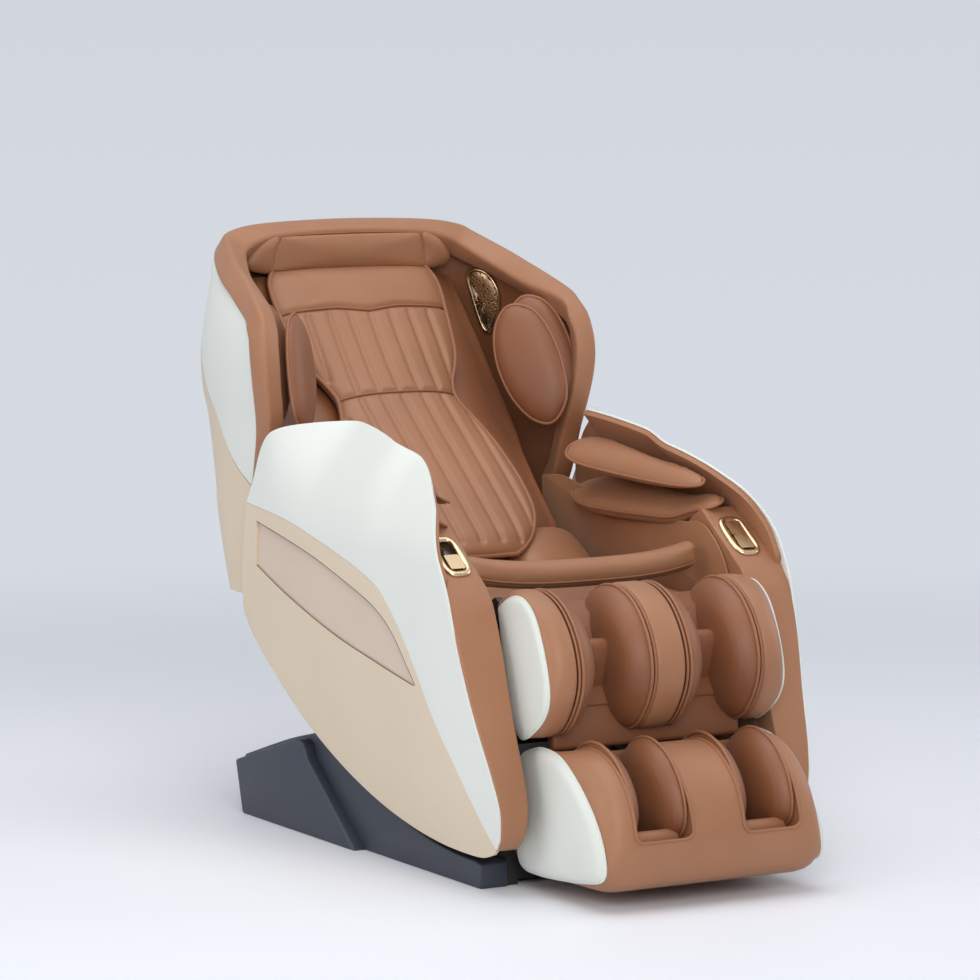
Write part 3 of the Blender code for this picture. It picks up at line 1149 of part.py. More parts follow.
foot_pad_low = FOOT_WELL_FLOOR + GAP + FOOT_PAD_CLEAR
FOOT_STATIONS = [(n / 8, foot_pad_low + FOOT_PAD_HEIGHT * n / 8) for n in range(9)]
for side, sign in SIDES:
    lining_pad(f"foot_pad_{side}", sign, FOOT_WELL_INNER, FOOT_WELL_OUTER, FOOT_PAD_SIDE, FOOT_PAD_BACK,
               FOOT_PAD_REACH, FOOT_STATIONS,
               lambda x, run, out: Vector((x, FOOT_WELL_REAR - GAP - out, run)), "leather", footrest)
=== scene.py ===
"""Studio scene of the massage chair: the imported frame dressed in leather, moulded shells and trim.

The chair faces -Y, X runs across it and Z is up. All sizes are in metres.
"""

import math

import bmesh
import bpy
from mathutils import Matrix, Vector
from mathutils.kdtree import KDTree


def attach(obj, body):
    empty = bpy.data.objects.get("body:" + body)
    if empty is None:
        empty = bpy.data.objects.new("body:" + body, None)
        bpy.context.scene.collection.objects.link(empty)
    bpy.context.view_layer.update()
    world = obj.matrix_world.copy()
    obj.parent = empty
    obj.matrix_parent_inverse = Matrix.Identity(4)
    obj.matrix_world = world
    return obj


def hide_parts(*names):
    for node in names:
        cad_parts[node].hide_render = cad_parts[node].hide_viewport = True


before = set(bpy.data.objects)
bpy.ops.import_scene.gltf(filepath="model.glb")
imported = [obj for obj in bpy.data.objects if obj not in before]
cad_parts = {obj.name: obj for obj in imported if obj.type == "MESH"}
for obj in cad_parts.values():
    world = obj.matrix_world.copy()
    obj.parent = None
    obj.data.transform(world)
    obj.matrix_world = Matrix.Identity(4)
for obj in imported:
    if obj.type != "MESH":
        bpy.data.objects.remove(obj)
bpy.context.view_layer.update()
scene = bpy.context.scene
SIDES = (("left", -1), ("right", 1))
MM = 0.001

# Camera at the photograph's angle

CAMERA_PLACE = (-4.300, -7.393, 1.610)
CAMERA_RIGHT = (0.8660, -0.5000, 0.0)
CAMERA_UP = (0.0555, 0.0962, 0.9938)
CAMERA_BACK = (-0.4969, -0.8607, 0.1111)
SENSOR_WIDTH = 36
FOCAL_LENGTH = 169.7
camera_data = bpy.data.cameras.new("studio_camera")
camera_data.sensor_width = SENSOR_WIDTH
camera_data.lens = FOCAL_LENGTH
camera = bpy.data.objects.new("studio_camera", camera_data)
scene.collection.objects.link(camera)
axes = Matrix((CAMERA_RIGHT, CAMERA_UP, CAMERA_BACK)).transposed()
camera.matrix_world = Matrix.Translation(CAMERA_PLACE) @ axes.to_4x4()
scene.camera = camera
scene.view_settings.view_transform = "Standard"


# Materials

def linear(code):
    """The linear colour of an sRGB hex value."""
    values = [int(code[start:start + 2], 16) / 255 for start in (1, 3, 5)]
    return (*[v / 12.92 if v <= 0.04045 else ((v + 0.055) / 1.055) ** 2.4 for v in values], 1.0)


def add(tree, kind, sockets, **settings):
    """A node with its settings, its sockets set to values or linked to other nodes' outputs."""
    made = tree.nodes.new(kind)
    for name, value in settings.items():
        setattr(made, name, value)
    for name, value in sockets.items():
        if isinstance(value, bpy.types.NodeSocket):
            tree.links.new(value, made.inputs[name])
        else:
            made.inputs[name].default_value = value
    return made


def start_material(name, roughness, metallic=0.0):
    """A material with its tree, shader and object coordinates in metres."""
    material = bpy.data.materials.new(name)
    material.use_nodes = True
    tree = material.node_tree
    shader = tree.nodes["Principled BSDF"]
    shader.inputs["Roughness"].default_value = roughness
    shader.inputs["Metallic"].default_value = metallic
    place = add(tree, "ShaderNodeTexCoord", {}).outputs["Object"]
    return material, tree, shader, place


def coated_leather(name, light, deep, roughness=0.42):
    """Split leather with an embossed polyurethane coat: soft sheen, fine pebbles and slack creases."""
    material, tree, shader, place = start_material(name, roughness)
    shader.inputs["IOR"].default_value = 1.48
    shader.inputs["Sheen Weight"].default_value = 0.06
    shader.inputs["Sheen Roughness"].default_value = 0.5
    # The hide's tone drifts over about 140 mm
    drift = add(tree, "ShaderNodeTexNoise", {"Vector": place, "Scale": 1 / (140 * MM), "Detail": 3.0})
    # Pebbles of 1 mm are too fine to show, so they are drawn 2.4 mm wide
    pebble = add(tree, "ShaderNodeTexVoronoi", {"Vector": place, "Scale": 1 / (2.4 * MM)},
                 feature="DISTANCE_TO_EDGE")
    # Slack creases lie about 30 mm apart
    crease = add(tree, "ShaderNodeTexNoise", {"Vector": place, "Scale": 1 / (30 * MM), "Detail": 4.0,
                                              "Distortion": 0.8})
    valley = add(tree, "ShaderNodeMapRange", {"Value": pebble.outputs["Distance"], "From Max": 0.09,
                                              "To Min": 0.0, "To Max": 1.0})
    tone = add(tree, "ShaderNodeMath", {0: drift.outputs["Fac"], 1: 0.8}, operation="MULTIPLY")
    tone = add(tree, "ShaderNodeMath", {0: valley.outputs["Result"], 1: 0.12, 2: tone.outputs["Value"]},
               operation="MULTIPLY_ADD")
    mix = add(tree, "ShaderNodeMix", {"Factor": tone.outputs["Value"], 6: linear(deep), 7: linear(light)},
              data_type="RGBA")
    tree.links.new(mix.outputs[2], shader.inputs["Base Color"])
    gloss = add(tree, "ShaderNodeMapRange", {"Value": crease.outputs["Fac"], "To Min": roughness - 0.05,
                                             "To Max": roughness + 0.07})
    tree.links.new(gloss.outputs["Result"], shader.inputs["Roughness"])
    height = add(tree, "ShaderNodeMath", {0: crease.outputs["Fac"], 1: 2.2, 2: valley.outputs["Result"]},
                 operation="MULTIPLY_ADD")
    bump = add(tree, "ShaderNodeBump", {"Height": height.outputs["Value"], "Strength": 0.22,
                                        "Distance": 0.8 * MM})
    tree.links.new(bump.outputs["Normal"], shader.inputs["Normal"])
    return material


def moulded_plastic(name, light, deep, roughness, strength=0.10, ior=1.53):
    """Plastic moulded in a spark-eroded tool: an even matt face with a faint grit."""
    material, tree, shader, place = start_material(name, roughness)
    shader.inputs["IOR"].default_value = ior
    # The tone of a moulding drifts over about 250 mm
    shade = add(tree, "ShaderNodeTexNoise", {"Vector": place, "Scale": 1 / (250 * MM), "Detail": 2.0})
    # Grit of 0.2 mm is too fine to show, so it is drawn 1.6 mm wide
    grain = add(tree, "ShaderNodeTexNoise", {"Vector": place, "Scale": 1 / (1.6 * MM), "Detail": 2.0})
    blend = add(tree, "ShaderNodeMath", {0: grain.outputs["Fac"], 1: 0.25, 2: shade.outputs["Fac"]},
                operation="MULTIPLY_ADD")
    mix = add(tree, "ShaderNodeMix", {"Factor": blend.outputs["Value"], 6: linear(deep), 7: linear(light)},
              data_type="RGBA")
    tree.links.new(mix.outputs[2], shader.inputs["Base Color"])
    gloss = add(tree, "ShaderNodeMapRange", {"Value": grain.outputs["Fac"], "To Min": roughness - 0.05,
                                             "To Max": roughness + 0.05})
    tree.links.new(gloss.outputs["Result"], shader.inputs["Roughness"])
    bump = add(tree, "ShaderNodeBump", {"Height": grain.outputs["Fac"], "Strength": strength,
                                        "Distance": 0.3 * MM})
    tree.links.new(bump.outputs["Normal"], shader.inputs["Normal"])
    return material


def satin_metal(name, light, deep, roughness):
    """Brushed metal, anodised or plated: a soft warm or grey gleam, drawn out along the lines."""
    material, tree, shader, place = start_material(name, roughness, 1.0)
    # Brushed lines of 0.2 mm are too fine to show, so they are drawn 0.7 mm wide and 40 mm long
    stretched = add(tree, "ShaderNodeMapping", {"Vector": place,
                                                "Scale": (1 / (0.7 * MM), 1 / (40 * MM), 1 / (40 * MM))})
    lines = add(tree, "ShaderNodeTexNoise", {"Vector": stretched.outputs["Vector"], "Scale": 1.0,
                                             "Detail": 2.0})
    mix = add(tree, "ShaderNodeMix", {"Factor": lines.outputs["Fac"], 6: linear(deep), 7: linear(light)},
              data_type="RGBA")
    tree.links.new(mix.outputs[2], shader.inputs["Base Color"])
    gloss = add(tree, "ShaderNodeMapRange", {"Value": lines.outputs["Fac"], "To Min": roughness - 0.06,
                                             "To Max": roughness + 0.06})
    tree.links.new(gloss.outputs["Result"], shader.inputs["Roughness"])
    return material


def pressed_grille(name, light, deep):
    """Pressed steel sheet with a bronze lacquer: dark holes in a bright net."""
    material, tree, shader, place = start_material(name, 0.36, 1.0)
    # Holes of 2 mm are too fine to show, so they are drawn 5.5 mm apart
    cells = add(tree, "ShaderNodeTexVoronoi", {"Vector": place, "Scale": 1 / (5.5 * MM)}, feature="F1")
    holes = add(tree, "ShaderNodeMapRange", {"Value": cells.outputs["Distance"], "From Min": 0.25,
                                             "From Max": 0.42})
    mix = add(tree, "ShaderNodeMix", {"Factor": holes.outputs["Result"], 6: linear(deep), 7: linear(light)},
              data_type="RGBA")
    tree.links.new(mix.outputs[2], shader.inputs["Base Color"])
    bump = add(tree, "ShaderNodeBump", {"Height": holes.outputs["Result"], "Strength": 0.6,
                                        "Distance": 1.0 * MM})
    tree.links.new(bump.outputs["Normal"], shader.inputs["Normal"])
    return material


# Cushions and bands: warm tan with a soft sheen on every crown
TAN_LEATHER = coated_leather("tan_coated_leather", "#AD7A58", "#966342")
# Lining, cheeks, side panels, shoulder leaves, calf board, rests, skirt and soles: the same hide, painted
# darker as painted shade for parts that sit in shadow
PAINTED_SHADE_LEATHER = coated_leather("painted_shade_coated_leather", "#935C3A", "#7A492C")
# Piping: strips of the hide drawn tight over cord, so a little duller
CORD_LEATHER = coated_leather("piping_coated_leather", "#A56E4C", "#8C5838", 0.5)
# Upper shells: a clean satin white
WHITE_SHELL = moulded_plastic("white_moulded_abs", "#E2E5DF", "#DADDD6", 0.5)
# Leg covers: white hide over foam, softer than the shells
WHITE_HIDE = coated_leather("white_coated_leather", "#E0E3DC", "#D6DAD2", 0.5)
# Lower shells: a satin sand tone
BEIGE_SHELL = moulded_plastic("beige_moulded_abs", "#DCCBB3", "#D2C1A8", 0.48)
# Arm recess: a pinker tone, painted a little darker as painted shade of the inset
ROSE_INLAY = moulded_plastic("rose_beige_moulded_inlay", "#D6C2B1", "#CBB5A3", 0.42)
# Painted shadow: a thin dark brown line along each shell seam and the arm recess edges, where shade falls
# in the gap
PAINTED_SEAM_SHADOW = moulded_plastic("painted_seam_shadow_line", "#6E5A4A", "#5E4C3E", 0.6)
# Base covers: a cool dark grey with a broad dull highlight
CHARCOAL_SHELL = moulded_plastic("charcoal_moulded_polypropylene", "#363B47", "#2B303A", 0.5, ior=1.49)
# Actuators, rollers and power box: near black and dull
BLACK_PLASTIC = moulded_plastic("black_moulded_nylon", "#26272B", "#1A1B1E", 0.5)
# Floor of the control wells: dark and almost polished
DARK_WELL = moulded_plastic("dark_glossy_acrylic", "#3A2C20", "#2A2018", 0.2, strength=0.02)
# Bezels, keys and speaker rims: pale gold with a crisp gleam
CHAMPAGNE = satin_metal("champagne_anodised_aluminium", "#DCC3A0", "#CBAE88", 0.26)
# Rods and screw: grey with a blunt gleam
FRAME_STEEL = satin_metal("zinc_plated_steel", "#8C9096", "#70747A", 0.42)
# Frames: the coat is plastic, so dark and dull with no metal gleam
COATED_STEEL = moulded_plastic("black_powder_coated_steel", "#2A2623", "#1E1B19", 0.55, ior=1.5)
# Speakers: lacquered net over a dark inside
GRILLE = pressed_grille("bronze_pressed_grille", "#C4A27C", "#4A3522")


# Curves and meshes

def smooth(points, steps=8):
    """Points along a Catmull-Rom curve through the given ones."""
    ends = [points[0], *points, points[-1]]
    curve = []
    for before, start, end, after in zip(ends, ends[1:], ends[2:], ends[3:]):
        for step in range(steps):
            t = step / steps
            curve.append(tuple(
                0.5 * (2 * b + (c - a) * t + (2 * a - 5 * b + 4 * c - d) * t**2
                       + (3 * b - a - 3 * c + d) * t**3)
                for a, b, c, d in zip(before, start, end, after)))
    curve.append(tuple(points[-1]))
    return curve


def smooth_loop(points, steps):
    """A closed Catmull-Rom curve through the given points."""
    count = len(points)
    curve = smooth([points[-1], *points, points[0], points[1]], steps)
    return curve[steps:steps * (count + 1)]


def spread(points, count):
    """Evenly spaced points along a polyline."""
    lengths = [0.0]
    for start, end in zip(points, points[1:]):
        lengths.append(lengths[-1] + math.dist(start, end))
    spaced = []
    index = 0
    for number in range(count):
        target = lengths[-1] * number / (count - 1)
        while index < len(points) - 2 and lengths[index + 1] < target:
            index += 1
        share = (target - lengths[index]) / (lengths[index + 1] - lengths[index])
        spaced.append(tuple(a + (b - a) * share for a, b in zip(points[index], points[index + 1])))
    return spaced


def read_table(table, value):
    """The other columns of a table at a value of its first one, held at the table's ends."""
    for low, high in zip(table, table[1:]):
        if value <= high[0] or high is table[-1]:
            share = (value - low[0]) / (high[0] - low[0])
            share = min(max(share, 0.0), 1.0)
            return [a + (b - a) * share for a, b in zip(low[1:], high[1:])]


def ease(value):
    """A gentle step from 0 to 1 as a value goes from 0 to 1."""
    value = min(max(value, 0.0), 1.0)
    return value * value * (3 - 2 * value)


def along(point, direction, distance):
    """A (Y, Z) point moved along a direction."""
    return (point[0] + direction[0] * distance, point[1] + direction[1] * distance)


def signed_power(value, power):
    """A value raised to a power, its sign kept: below 1 it squares off a circle."""
    return math.copysign(abs(value) ** power, value)


def in_scene(name, bm, finish):
    """An object in the scene from a mesh in world coordinates."""
    mesh = bpy.data.meshes.new(name)
    bm.to_mesh(mesh)
    bm.free()
    mesh.materials.append(finish)
    piece = bpy.data.objects.new(name, mesh)
    scene.collection.objects.link(piece)
    return piece


def new_object(name, bm, finish):
    """A closed piece with its faces turned outwards, smooth shaded."""
    bmesh.ops.recalc_face_normals(bm, faces=bm.faces)
    if bm.calc_volume(signed=True) < 0:
        bmesh.ops.reverse_faces(bm, faces=bm.faces)
    piece = in_scene(name, bm, finish)
    piece.data.shade_smooth()
    return piece


def settle(piece):
    """Replaces a piece's mesh by what its modifiers make of it."""
    bpy.context.view_layer.update()
    made = bpy.data.meshes.new_from_object(piece.evaluated_get(bpy.context.evaluated_depsgraph_get()))
    piece.modifiers.clear()
    piece.data = made
    return piece


def rounded(piece, width, segments=3, angle=35):
    """Rounds a piece's sharp edges."""
    bevel = piece.modifiers.new("rounding", "BEVEL")
    bevel.width = width
    bevel.segments = segments
    bevel.limit_method = "ANGLE"
    bevel.angle_limit = math.radians(angle)
    settle(piece)
    piece.data.shade_smooth()
    return piece


def dress(piece, body, slot, *nodes):
    """Lets a finished piece ride on its body and stand for its CAD nodes; its slot is not used."""
    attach(piece, body)
    if nodes:
        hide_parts(*nodes)
    return piece


def grid_mesh(rows):
    """An open surface through rows of points."""
    bm = bmesh.new()
    grid = [[bm.verts.new(point) for point in row] for row in rows]
    for row, following in zip(grid, grid[1:]):
        for index in range(len(row) - 1):
            bm.faces.new((row[index], row[index + 1], following[index + 1], following[index]))
    return bm


def sheet_shell(name, rows, wall, finish, outward, edge):
    """A moulded shell: a surface through rows of points, a wall behind it and rounded edges."""
    bm = grid_mesh(rows)
    bm.normal_update()
    bm.faces.ensure_lookup_table()
    middle = bm.faces[len(bm.faces) // 2]
    if middle.normal.dot(outward(middle.calc_center_median())) < 0:
        bmesh.ops.reverse_faces(bm, faces=bm.faces)
    piece = in_scene(name, bm, finish)
    thicken = piece.modifiers.new("wall", "SOLIDIFY")
    thicken.thickness = wall
    thicken.offset = -1
    settle(piece)
    return rounded(piece, edge, angle=50)


def loft(rings, closed_ends=True):
    """A mesh through rings of equally many points."""
    bm = bmesh.new()
    loops = [[bm.verts.new(point) for point in ring] for ring in rings]
    for loop, following in zip(loops, loops[1:]):
        for index, vert in enumerate(loop):
            bm.faces.new((loop[index - 1], vert, following[index], following[index - 1]))
    if closed_ends:
        bm.faces.new(loops[0])
        bm.faces.new(loops[-1])
    return bm


def slab(name, outline, x_range, finish, edge, segments=4):
    """A (Y, Z) outline carried across between two X values, its rims rounded."""
    rings = [[(x, y, z) for y, z in outline] for x in x_range]
    return rounded(new_object(name, loft(rings), finish), edge, segments, angle=60)


def tube(name, points, radius, finish, closed=False, sides=10):
    """A round cord through points, such as piping in a seam."""
    curve = bpy.data.curves.new(name, "CURVE")
    curve.dimensions = "3D"
    curve.bevel_depth = radius
    curve.bevel_resolution = max(sides // 4, 1)
    curve.use_fill_caps = True
    line = curve.splines.new("POLY")
    line.points.add(len(points) - 1)
    for point, place in zip(line.points, points):
        point.co = (*place, 1)
    line.use_cyclic_u = closed
    guide = bpy.data.objects.new(name, curve)
    scene.collection.objects.link(guide)
    bpy.context.view_layer.update()
    mesh = bpy.data.meshes.new_from_object(guide.evaluated_get(bpy.context.evaluated_depsgraph_get()))
    bpy.data.objects.remove(guide)
    mesh.materials.clear()
    mesh.materials.append(finish)
    mesh.shade_smooth()
    piece = bpy.data.objects.new(name, mesh)
    scene.collection.objects.link(piece)
    return piece


def carry(child, parent):
    """A trim piece that goes with the piece it is sewn to."""
    child.parent = parent
    child.matrix_parent_inverse = parent.matrix_world.inverted()
    return child


def mirrored(piece, name):
    """The same piece on the other side of the chair."""
    bm = bmesh.new()
    bm.from_mesh(piece.data)
    for vert in bm.verts:
        vert.co.x = -vert.co.x
    bmesh.ops.reverse_faces(bm, faces=bm.faces)
    return in_scene(name, bm, piece.data.materials[0])


def both_sides(piece, twin_name, trims, body, slot, node_stem):
    """Dresses a right-hand piece and its mirror image, each with its own trim cords."""
    twin = mirrored(piece, twin_name)
    for made, side, sign in ((piece, "right", 1), (twin, "left", -1)):
        dress(made, body, slot, *([f"{node_stem}_{side}"] if node_stem else []))
        for label, points, radius in trims:
            cord = [(sign * point[0], point[1], point[2]) for point in points]
            carry(tube(f"{label}_{side}", cord, radius, CORD_LEATHER, True), made)


STUFFING_FRAMES = 20


def stuff(piece, seams, swell, voxel=0.005, pressure=4.0, hold=0.006):
    """Fills a pad: an even skin, then air pressure in cloth held along its seams, each move capped."""
    skin = piece.modifiers.new("skin", "REMESH")
    skin.mode = "VOXEL"
    skin.voxel_size = voxel
    settle(piece)
    tree = KDTree(max(len(seams), 1))
    for number, point in enumerate(seams):
        tree.insert(point, number)
    tree.balance()
    held = piece.vertex_groups.new(name="seam")
    for vert in piece.data.vertices:
        near = seams and tree.find(vert.co)[2] < hold
        held.add([vert.index], 1.0 if near else 0.0, "REPLACE")
    start = [vert.co.copy() for vert in piece.data.vertices]
    cloth = piece.modifiers.new("stuffing", "CLOTH")
    cloth.settings.use_pressure = True
    cloth.settings.uniform_pressure_force = pressure
    cloth.settings.effector_weights.gravity = 0
    cloth.settings.vertex_group_mass = "seam"
    cloth.point_cache.frame_start = 1
    cloth.point_cache.frame_end = STUFFING_FRAMES
    for number in range(1, STUFFING_FRAMES + 1):
        scene.frame_set(number)
    settle(piece)
    for vert, origin in zip(piece.data.vertices, start):
        move = vert.co - origin
        if move.length > swell:
            vert.co = origin + move.normalized() * swell
    scene.frame_set(1)
    piece.data.shade_smooth()
    finer = piece.modifiers.new("finer", "SUBSURF")
    finer.levels = 1
    finer.render_levels = 1
    return settle(piece)


CROWN_WIDTH = 3.2
CROWN_ROUNDING = 0.62
CROWN_POLE = 0.02


def leaf_mesh(outline, place, front, back, steps=7):
    """A closed lens: an outline that swells to a crown on each face, with its seam round the rim."""
    middle = [sum(values) / len(outline) for values in zip(*outline)]
    rings = []
    for side, depth in ((-1, back), (1, front)):
        shares = [math.sin(math.pi / 2 * step / steps) for step in range(steps + 1)]
        if side > 0:
            shares = shares[::-1][1:]
        for share in shares:
            share = max(share, CROWN_POLE)
            height = side * depth * max(1 - share**CROWN_WIDTH, 0.0) ** CROWN_ROUNDING
            rings.append([place(middle[0] + (a - middle[0]) * share, middle[1] + (b - middle[1]) * share,
                                height) for a, b in outline])
    return loft(rings)


def stuffed_leaf(name, outline, place, front, back, finish, swell):
    """A leaf of padding, filled with stuffing, and the line of its seam."""
    leaf = new_object(name, leaf_mesh(outline, place, front, back), finish)
    seam = [place(a, b, 0.0) for a, b in outline]
    stuff(leaf, seam, swell)
    return leaf, seam


# Arms: white shields and beige panels over brown bands, with padded rests inside

TILT_CENTRE = (-0.40, 1.13)
ARM_ARC_RADIUS = 1.068
COVER_ARC_RADIUS = 1.082
ARM_WIDE = 0.36
ARM_TOP = 0.585
LEAN_START = 0.58
LEAN_DEPTH = 0.105
LEAN_RISE = (0.17, 0.03)
LEAN_POWER = 1.8
LEAN_LIMIT = 1.1
# Y where a change starts, and the length that it takes
RISE_BLEND = (-0.16, 0.10)
LEAN_FADE = (0.10, 0.17)
TIP_TAPER = 0.045
TAPER_START = 0.5
TAPER_REACH = 0.4
TAPER_POWER = 1.5
SHELL_EDGE = 0.0016
SHIELD_WALL = 0.004
PANEL_WALL = 0.008
RECESS_DEPTH = 0.006
BAND_INNER = 0.266
SKIN_GAP = 0.0007


def arc(start, end, radius, count):
    """Points on an arc about the centre that the seat rocks on, from one Y to another."""
    points = []
    for number in range(count):
        y = start + (end - start) * number / (count - 1)
        points.append((y, TILT_CENTRE[1] - math.sqrt(radius**2 - (y - TILT_CENTRE[0])**2)))
    return points


SHIELD_TOP = [(0.348, 0.624), (0.325, 0.662), (0.287, 0.732), (0.233, 0.768), (0.138, 0.785),
              (0.056, 0.782), (-0.055, 0.766), (-0.161, 0.741), (-0.22, 0.721), (-0.272, 0.695),
              (-0.333, 0.652), (-0.409, 0.539), (-0.445, 0.436), (-0.485, 0.316), (-0.524, 0.217),
              (-0.538, 0.157), (-0.525, 0.106)]
SHIELD_SEAM = [(0.352, 0.616), (0.19, 0.598), (0.019, 0.564), (-0.114, 0.53), (-0.187, 0.496),
               (-0.267, 0.411), (-0.338, 0.298), (-0.40, 0.217), (-0.473, 0.123), (-0.508, 0.086)]
PANEL_BOTTOM = [(0.3565, 0.600), (0.372, 0.50), (0.377, 0.428), (0.361, 0.384),
                *arc(0.30, -0.44, ARM_ARC_RADIUS, 7), (-0.492, 0.074)]
RECESS_TOP = [(0.311, 0.585), (0.101, 0.546), (-0.068, 0.502), (-0.15, 0.475), (-0.21, 0.438),
              (-0.262, 0.378), (-0.283, 0.352)]
RECESS_LOW = [(0.313, 0.502), (0.188, 0.457), (0.016, 0.407), (-0.149, 0.373), (-0.262, 0.352),
              (-0.283, 0.3505)]
LINING_LOW = [(0.318, 0.60), (0.2, 0.588), (0.0, 0.588), (-0.2, 0.588), (-0.27, 0.61), (-0.33, 0.572),
              (-0.39, 0.528)]
LINING_TOP = [(0.318, 0.668), (0.284, 0.728), (0.231, 0.764), (0.138, 0.781), (0.056, 0.778),
              (-0.055, 0.762), (-0.161, 0.737), (-0.22, 0.717), (-0.27, 0.691), (-0.330, 0.648),
              (-0.395, 0.551)]


def shield_x(y, z):
    """Half width of the arm: widest at elbow height, leaning in to the ridge and to the tip."""
    rise = LEAN_RISE[0] + LEAN_RISE[1] * ease((y - RISE_BLEND[0]) / RISE_BLEND[1])
    lean = LEAN_DEPTH * min(max((z - LEAN_START) / rise, 0.0), LEAN_LIMIT) ** LEAN_POWER
    lean *= 1 - ease((y - LEAN_FADE[0]) / LEAN_FADE[1])
    taper = TIP_TAPER * (max(TAPER_START - z, 0.0) / TAPER_REACH) ** TAPER_POWER
    return ARM_WIDE - lean - taper


def arm_rows(low_curve, high_curve, along_count, across_count, sign, inset=0.0, inset_high=None):
    """Rows of arm surface points between two (Y, Z) curves."""
    inset_high = inset if inset_high is None else inset_high
    low = spread(smooth(low_curve), along_count)
    high = spread(smooth(high_curve), along_count)
    rows = []
    for start, end in zip(low, high):
        row = []
        for step in range(across_count):
            share = step / (across_count - 1)
            y = start[0] + (end[0] - start[0]) * share
            z = start[1] + (end[1] - start[1]) * share
            depth = inset + (inset_high - inset) * share
            row.append((sign * (shield_x(y, z) - depth), y, z))
        rows.append(row)
    return rows


def outward_x(sign):
    """The outward direction of an arm shell, as sheet_shell asks for it."""
    return lambda place: Vector((sign, 0, 0))


BAND_REAR = [(-0.30, ARM_TOP), (-0.352, 0.52), (-0.392, 0.436), (-0.428, 0.316), (-0.47, 0.217),
             (-0.478, 0.16), (-0.462, 0.1)]
CONSOLE_TOP = (-0.262, 0.632)
CONSOLE_FRONT = (-0.398, 0.534)
BAND_FRONT = [CONSOLE_FRONT, (-0.439, 0.436), (-0.478, 0.316), (-0.517, 0.217), (-0.531, 0.157),
              (-0.52, 0.108), (-0.492, 0.082)]
BAND_PROUD = 0.010
BAND_BLEND = 0.03
BAND_LAP = 0.0015
band_rear = smooth(BAND_REAR, 6)
band_front = [(y - BAND_PROUD * ease((CONSOLE_FRONT[1] - z) / BAND_BLEND), z)
              for y, z in smooth(BAND_FRONT, 6)]
band_outline = [(-0.196, ARM_TOP), (-0.232, 0.616), CONSOLE_TOP, *band_front, *band_rear[:0:-1],
                (BAND_REAR[0][0], ARM_TOP)]

CONSOLE_RUN = Vector((0, CONSOLE_FRONT[0] - CONSOLE_TOP[0],
                      CONSOLE_FRONT[1] - CONSOLE_TOP[1])).normalized()
CONSOLE_UP = Vector((0, CONSOLE_RUN[2], -CONSOLE_RUN[1]))
CONSOLE_MIDDLE = Vector((0, (CONSOLE_TOP[0] + CONSOLE_FRONT[0]) / 2,
                         (CONSOLE_TOP[1] + CONSOLE_FRONT[1]) / 2))
BEZEL_X = 0.305
BEZEL_HALF = (0.030, 0.052)
BEZEL_SECTION = ((0.0, 0.0004), (0.0, 0.0030), (0.0015, 0.0050), (0.0045, 0.0062), (0.0090, 0.0060),
                 (0.0122, 0.0044), (0.0136, 0.0026), (0.0136, 0.0006))
BEZEL_OUTER_POWER = 0.66
BEZEL_HOLE_POWER = 0.36
BEZEL_HOLE_START = 0.010
HOLE_HALF = (0.016, 0.038)
WELL_OVERLAP = 0.001
WELL_FLOOR = (0.00005, 0.0003)


def console_ring(x, half_width, half_length, up, power, count=64):
    """A rounded ring of points in a plane over the sloping arm front."""
    ring = []
    for number in range(count):
        turn = 2 * math.pi * number / count
        across = signed_power(math.cos(turn), power) * half_width
        down = signed_power(math.sin(turn), power) * half_length
        ring.append(Vector((x + across, 0, 0)) + CONSOLE_MIDDLE + CONSOLE_RUN * down + CONSOLE_UP * up)
    return ring


def control_bezel(side, sign):
    """A smooth oval ring with a rolled rim, over a dark well."""
    rings = []
    for inset, up in BEZEL_SECTION:
        power = BEZEL_OUTER_POWER if inset < BEZEL_HOLE_START else BEZEL_HOLE_POWER
        rings.append(console_ring(sign * BEZEL_X, BEZEL_HALF[0] - inset, BEZEL_HALF[1] - inset, up, power))
    ring = new_object(f"control_bezel_ring_{side}", loft([*rings, rings[0]], False), CHAMPAGNE)
    dress(ring, "seat", "gold", f"control_bezel_{side}")
    floor_rings = [console_ring(sign * BEZEL_X, HOLE_HALF[0] + WELL_OVERLAP, HOLE_HALF[1] + WELL_OVERLAP,
                                up, BEZEL_HOLE_POWER) for up in WELL_FLOOR]
    dress(new_object(f"control_well_{side}", loft(floor_rings), DARK_WELL), "seat", "black")


INNER_PANEL_X = (0.2608, 0.2643)
INNER_PANEL = [(0.300, 0.46),
               *smooth([(0.306, 0.640), (0.225, 0.646), (0.10, 0.622), (-0.08, 0.606), (-0.20, 0.602),
                        (-0.262, 0.606), (-0.305, 0.587), (-0.345, 0.547), (-0.368, 0.50),
                        (-0.378, 0.46)], 5)]
RECESS_RISE = 0.0022
RECESS_CLEARANCE = 0.0015
CUTTER_REACH = 0.02
RECESS_LINES = (("upper", RECESS_TOP, 0.0011), ("lower", RECESS_LOW, 0.0008))
LINE_DEPTH = 0.0006
LINING_GAP = 0.0005
SEAM_DEPTH = 0.0016


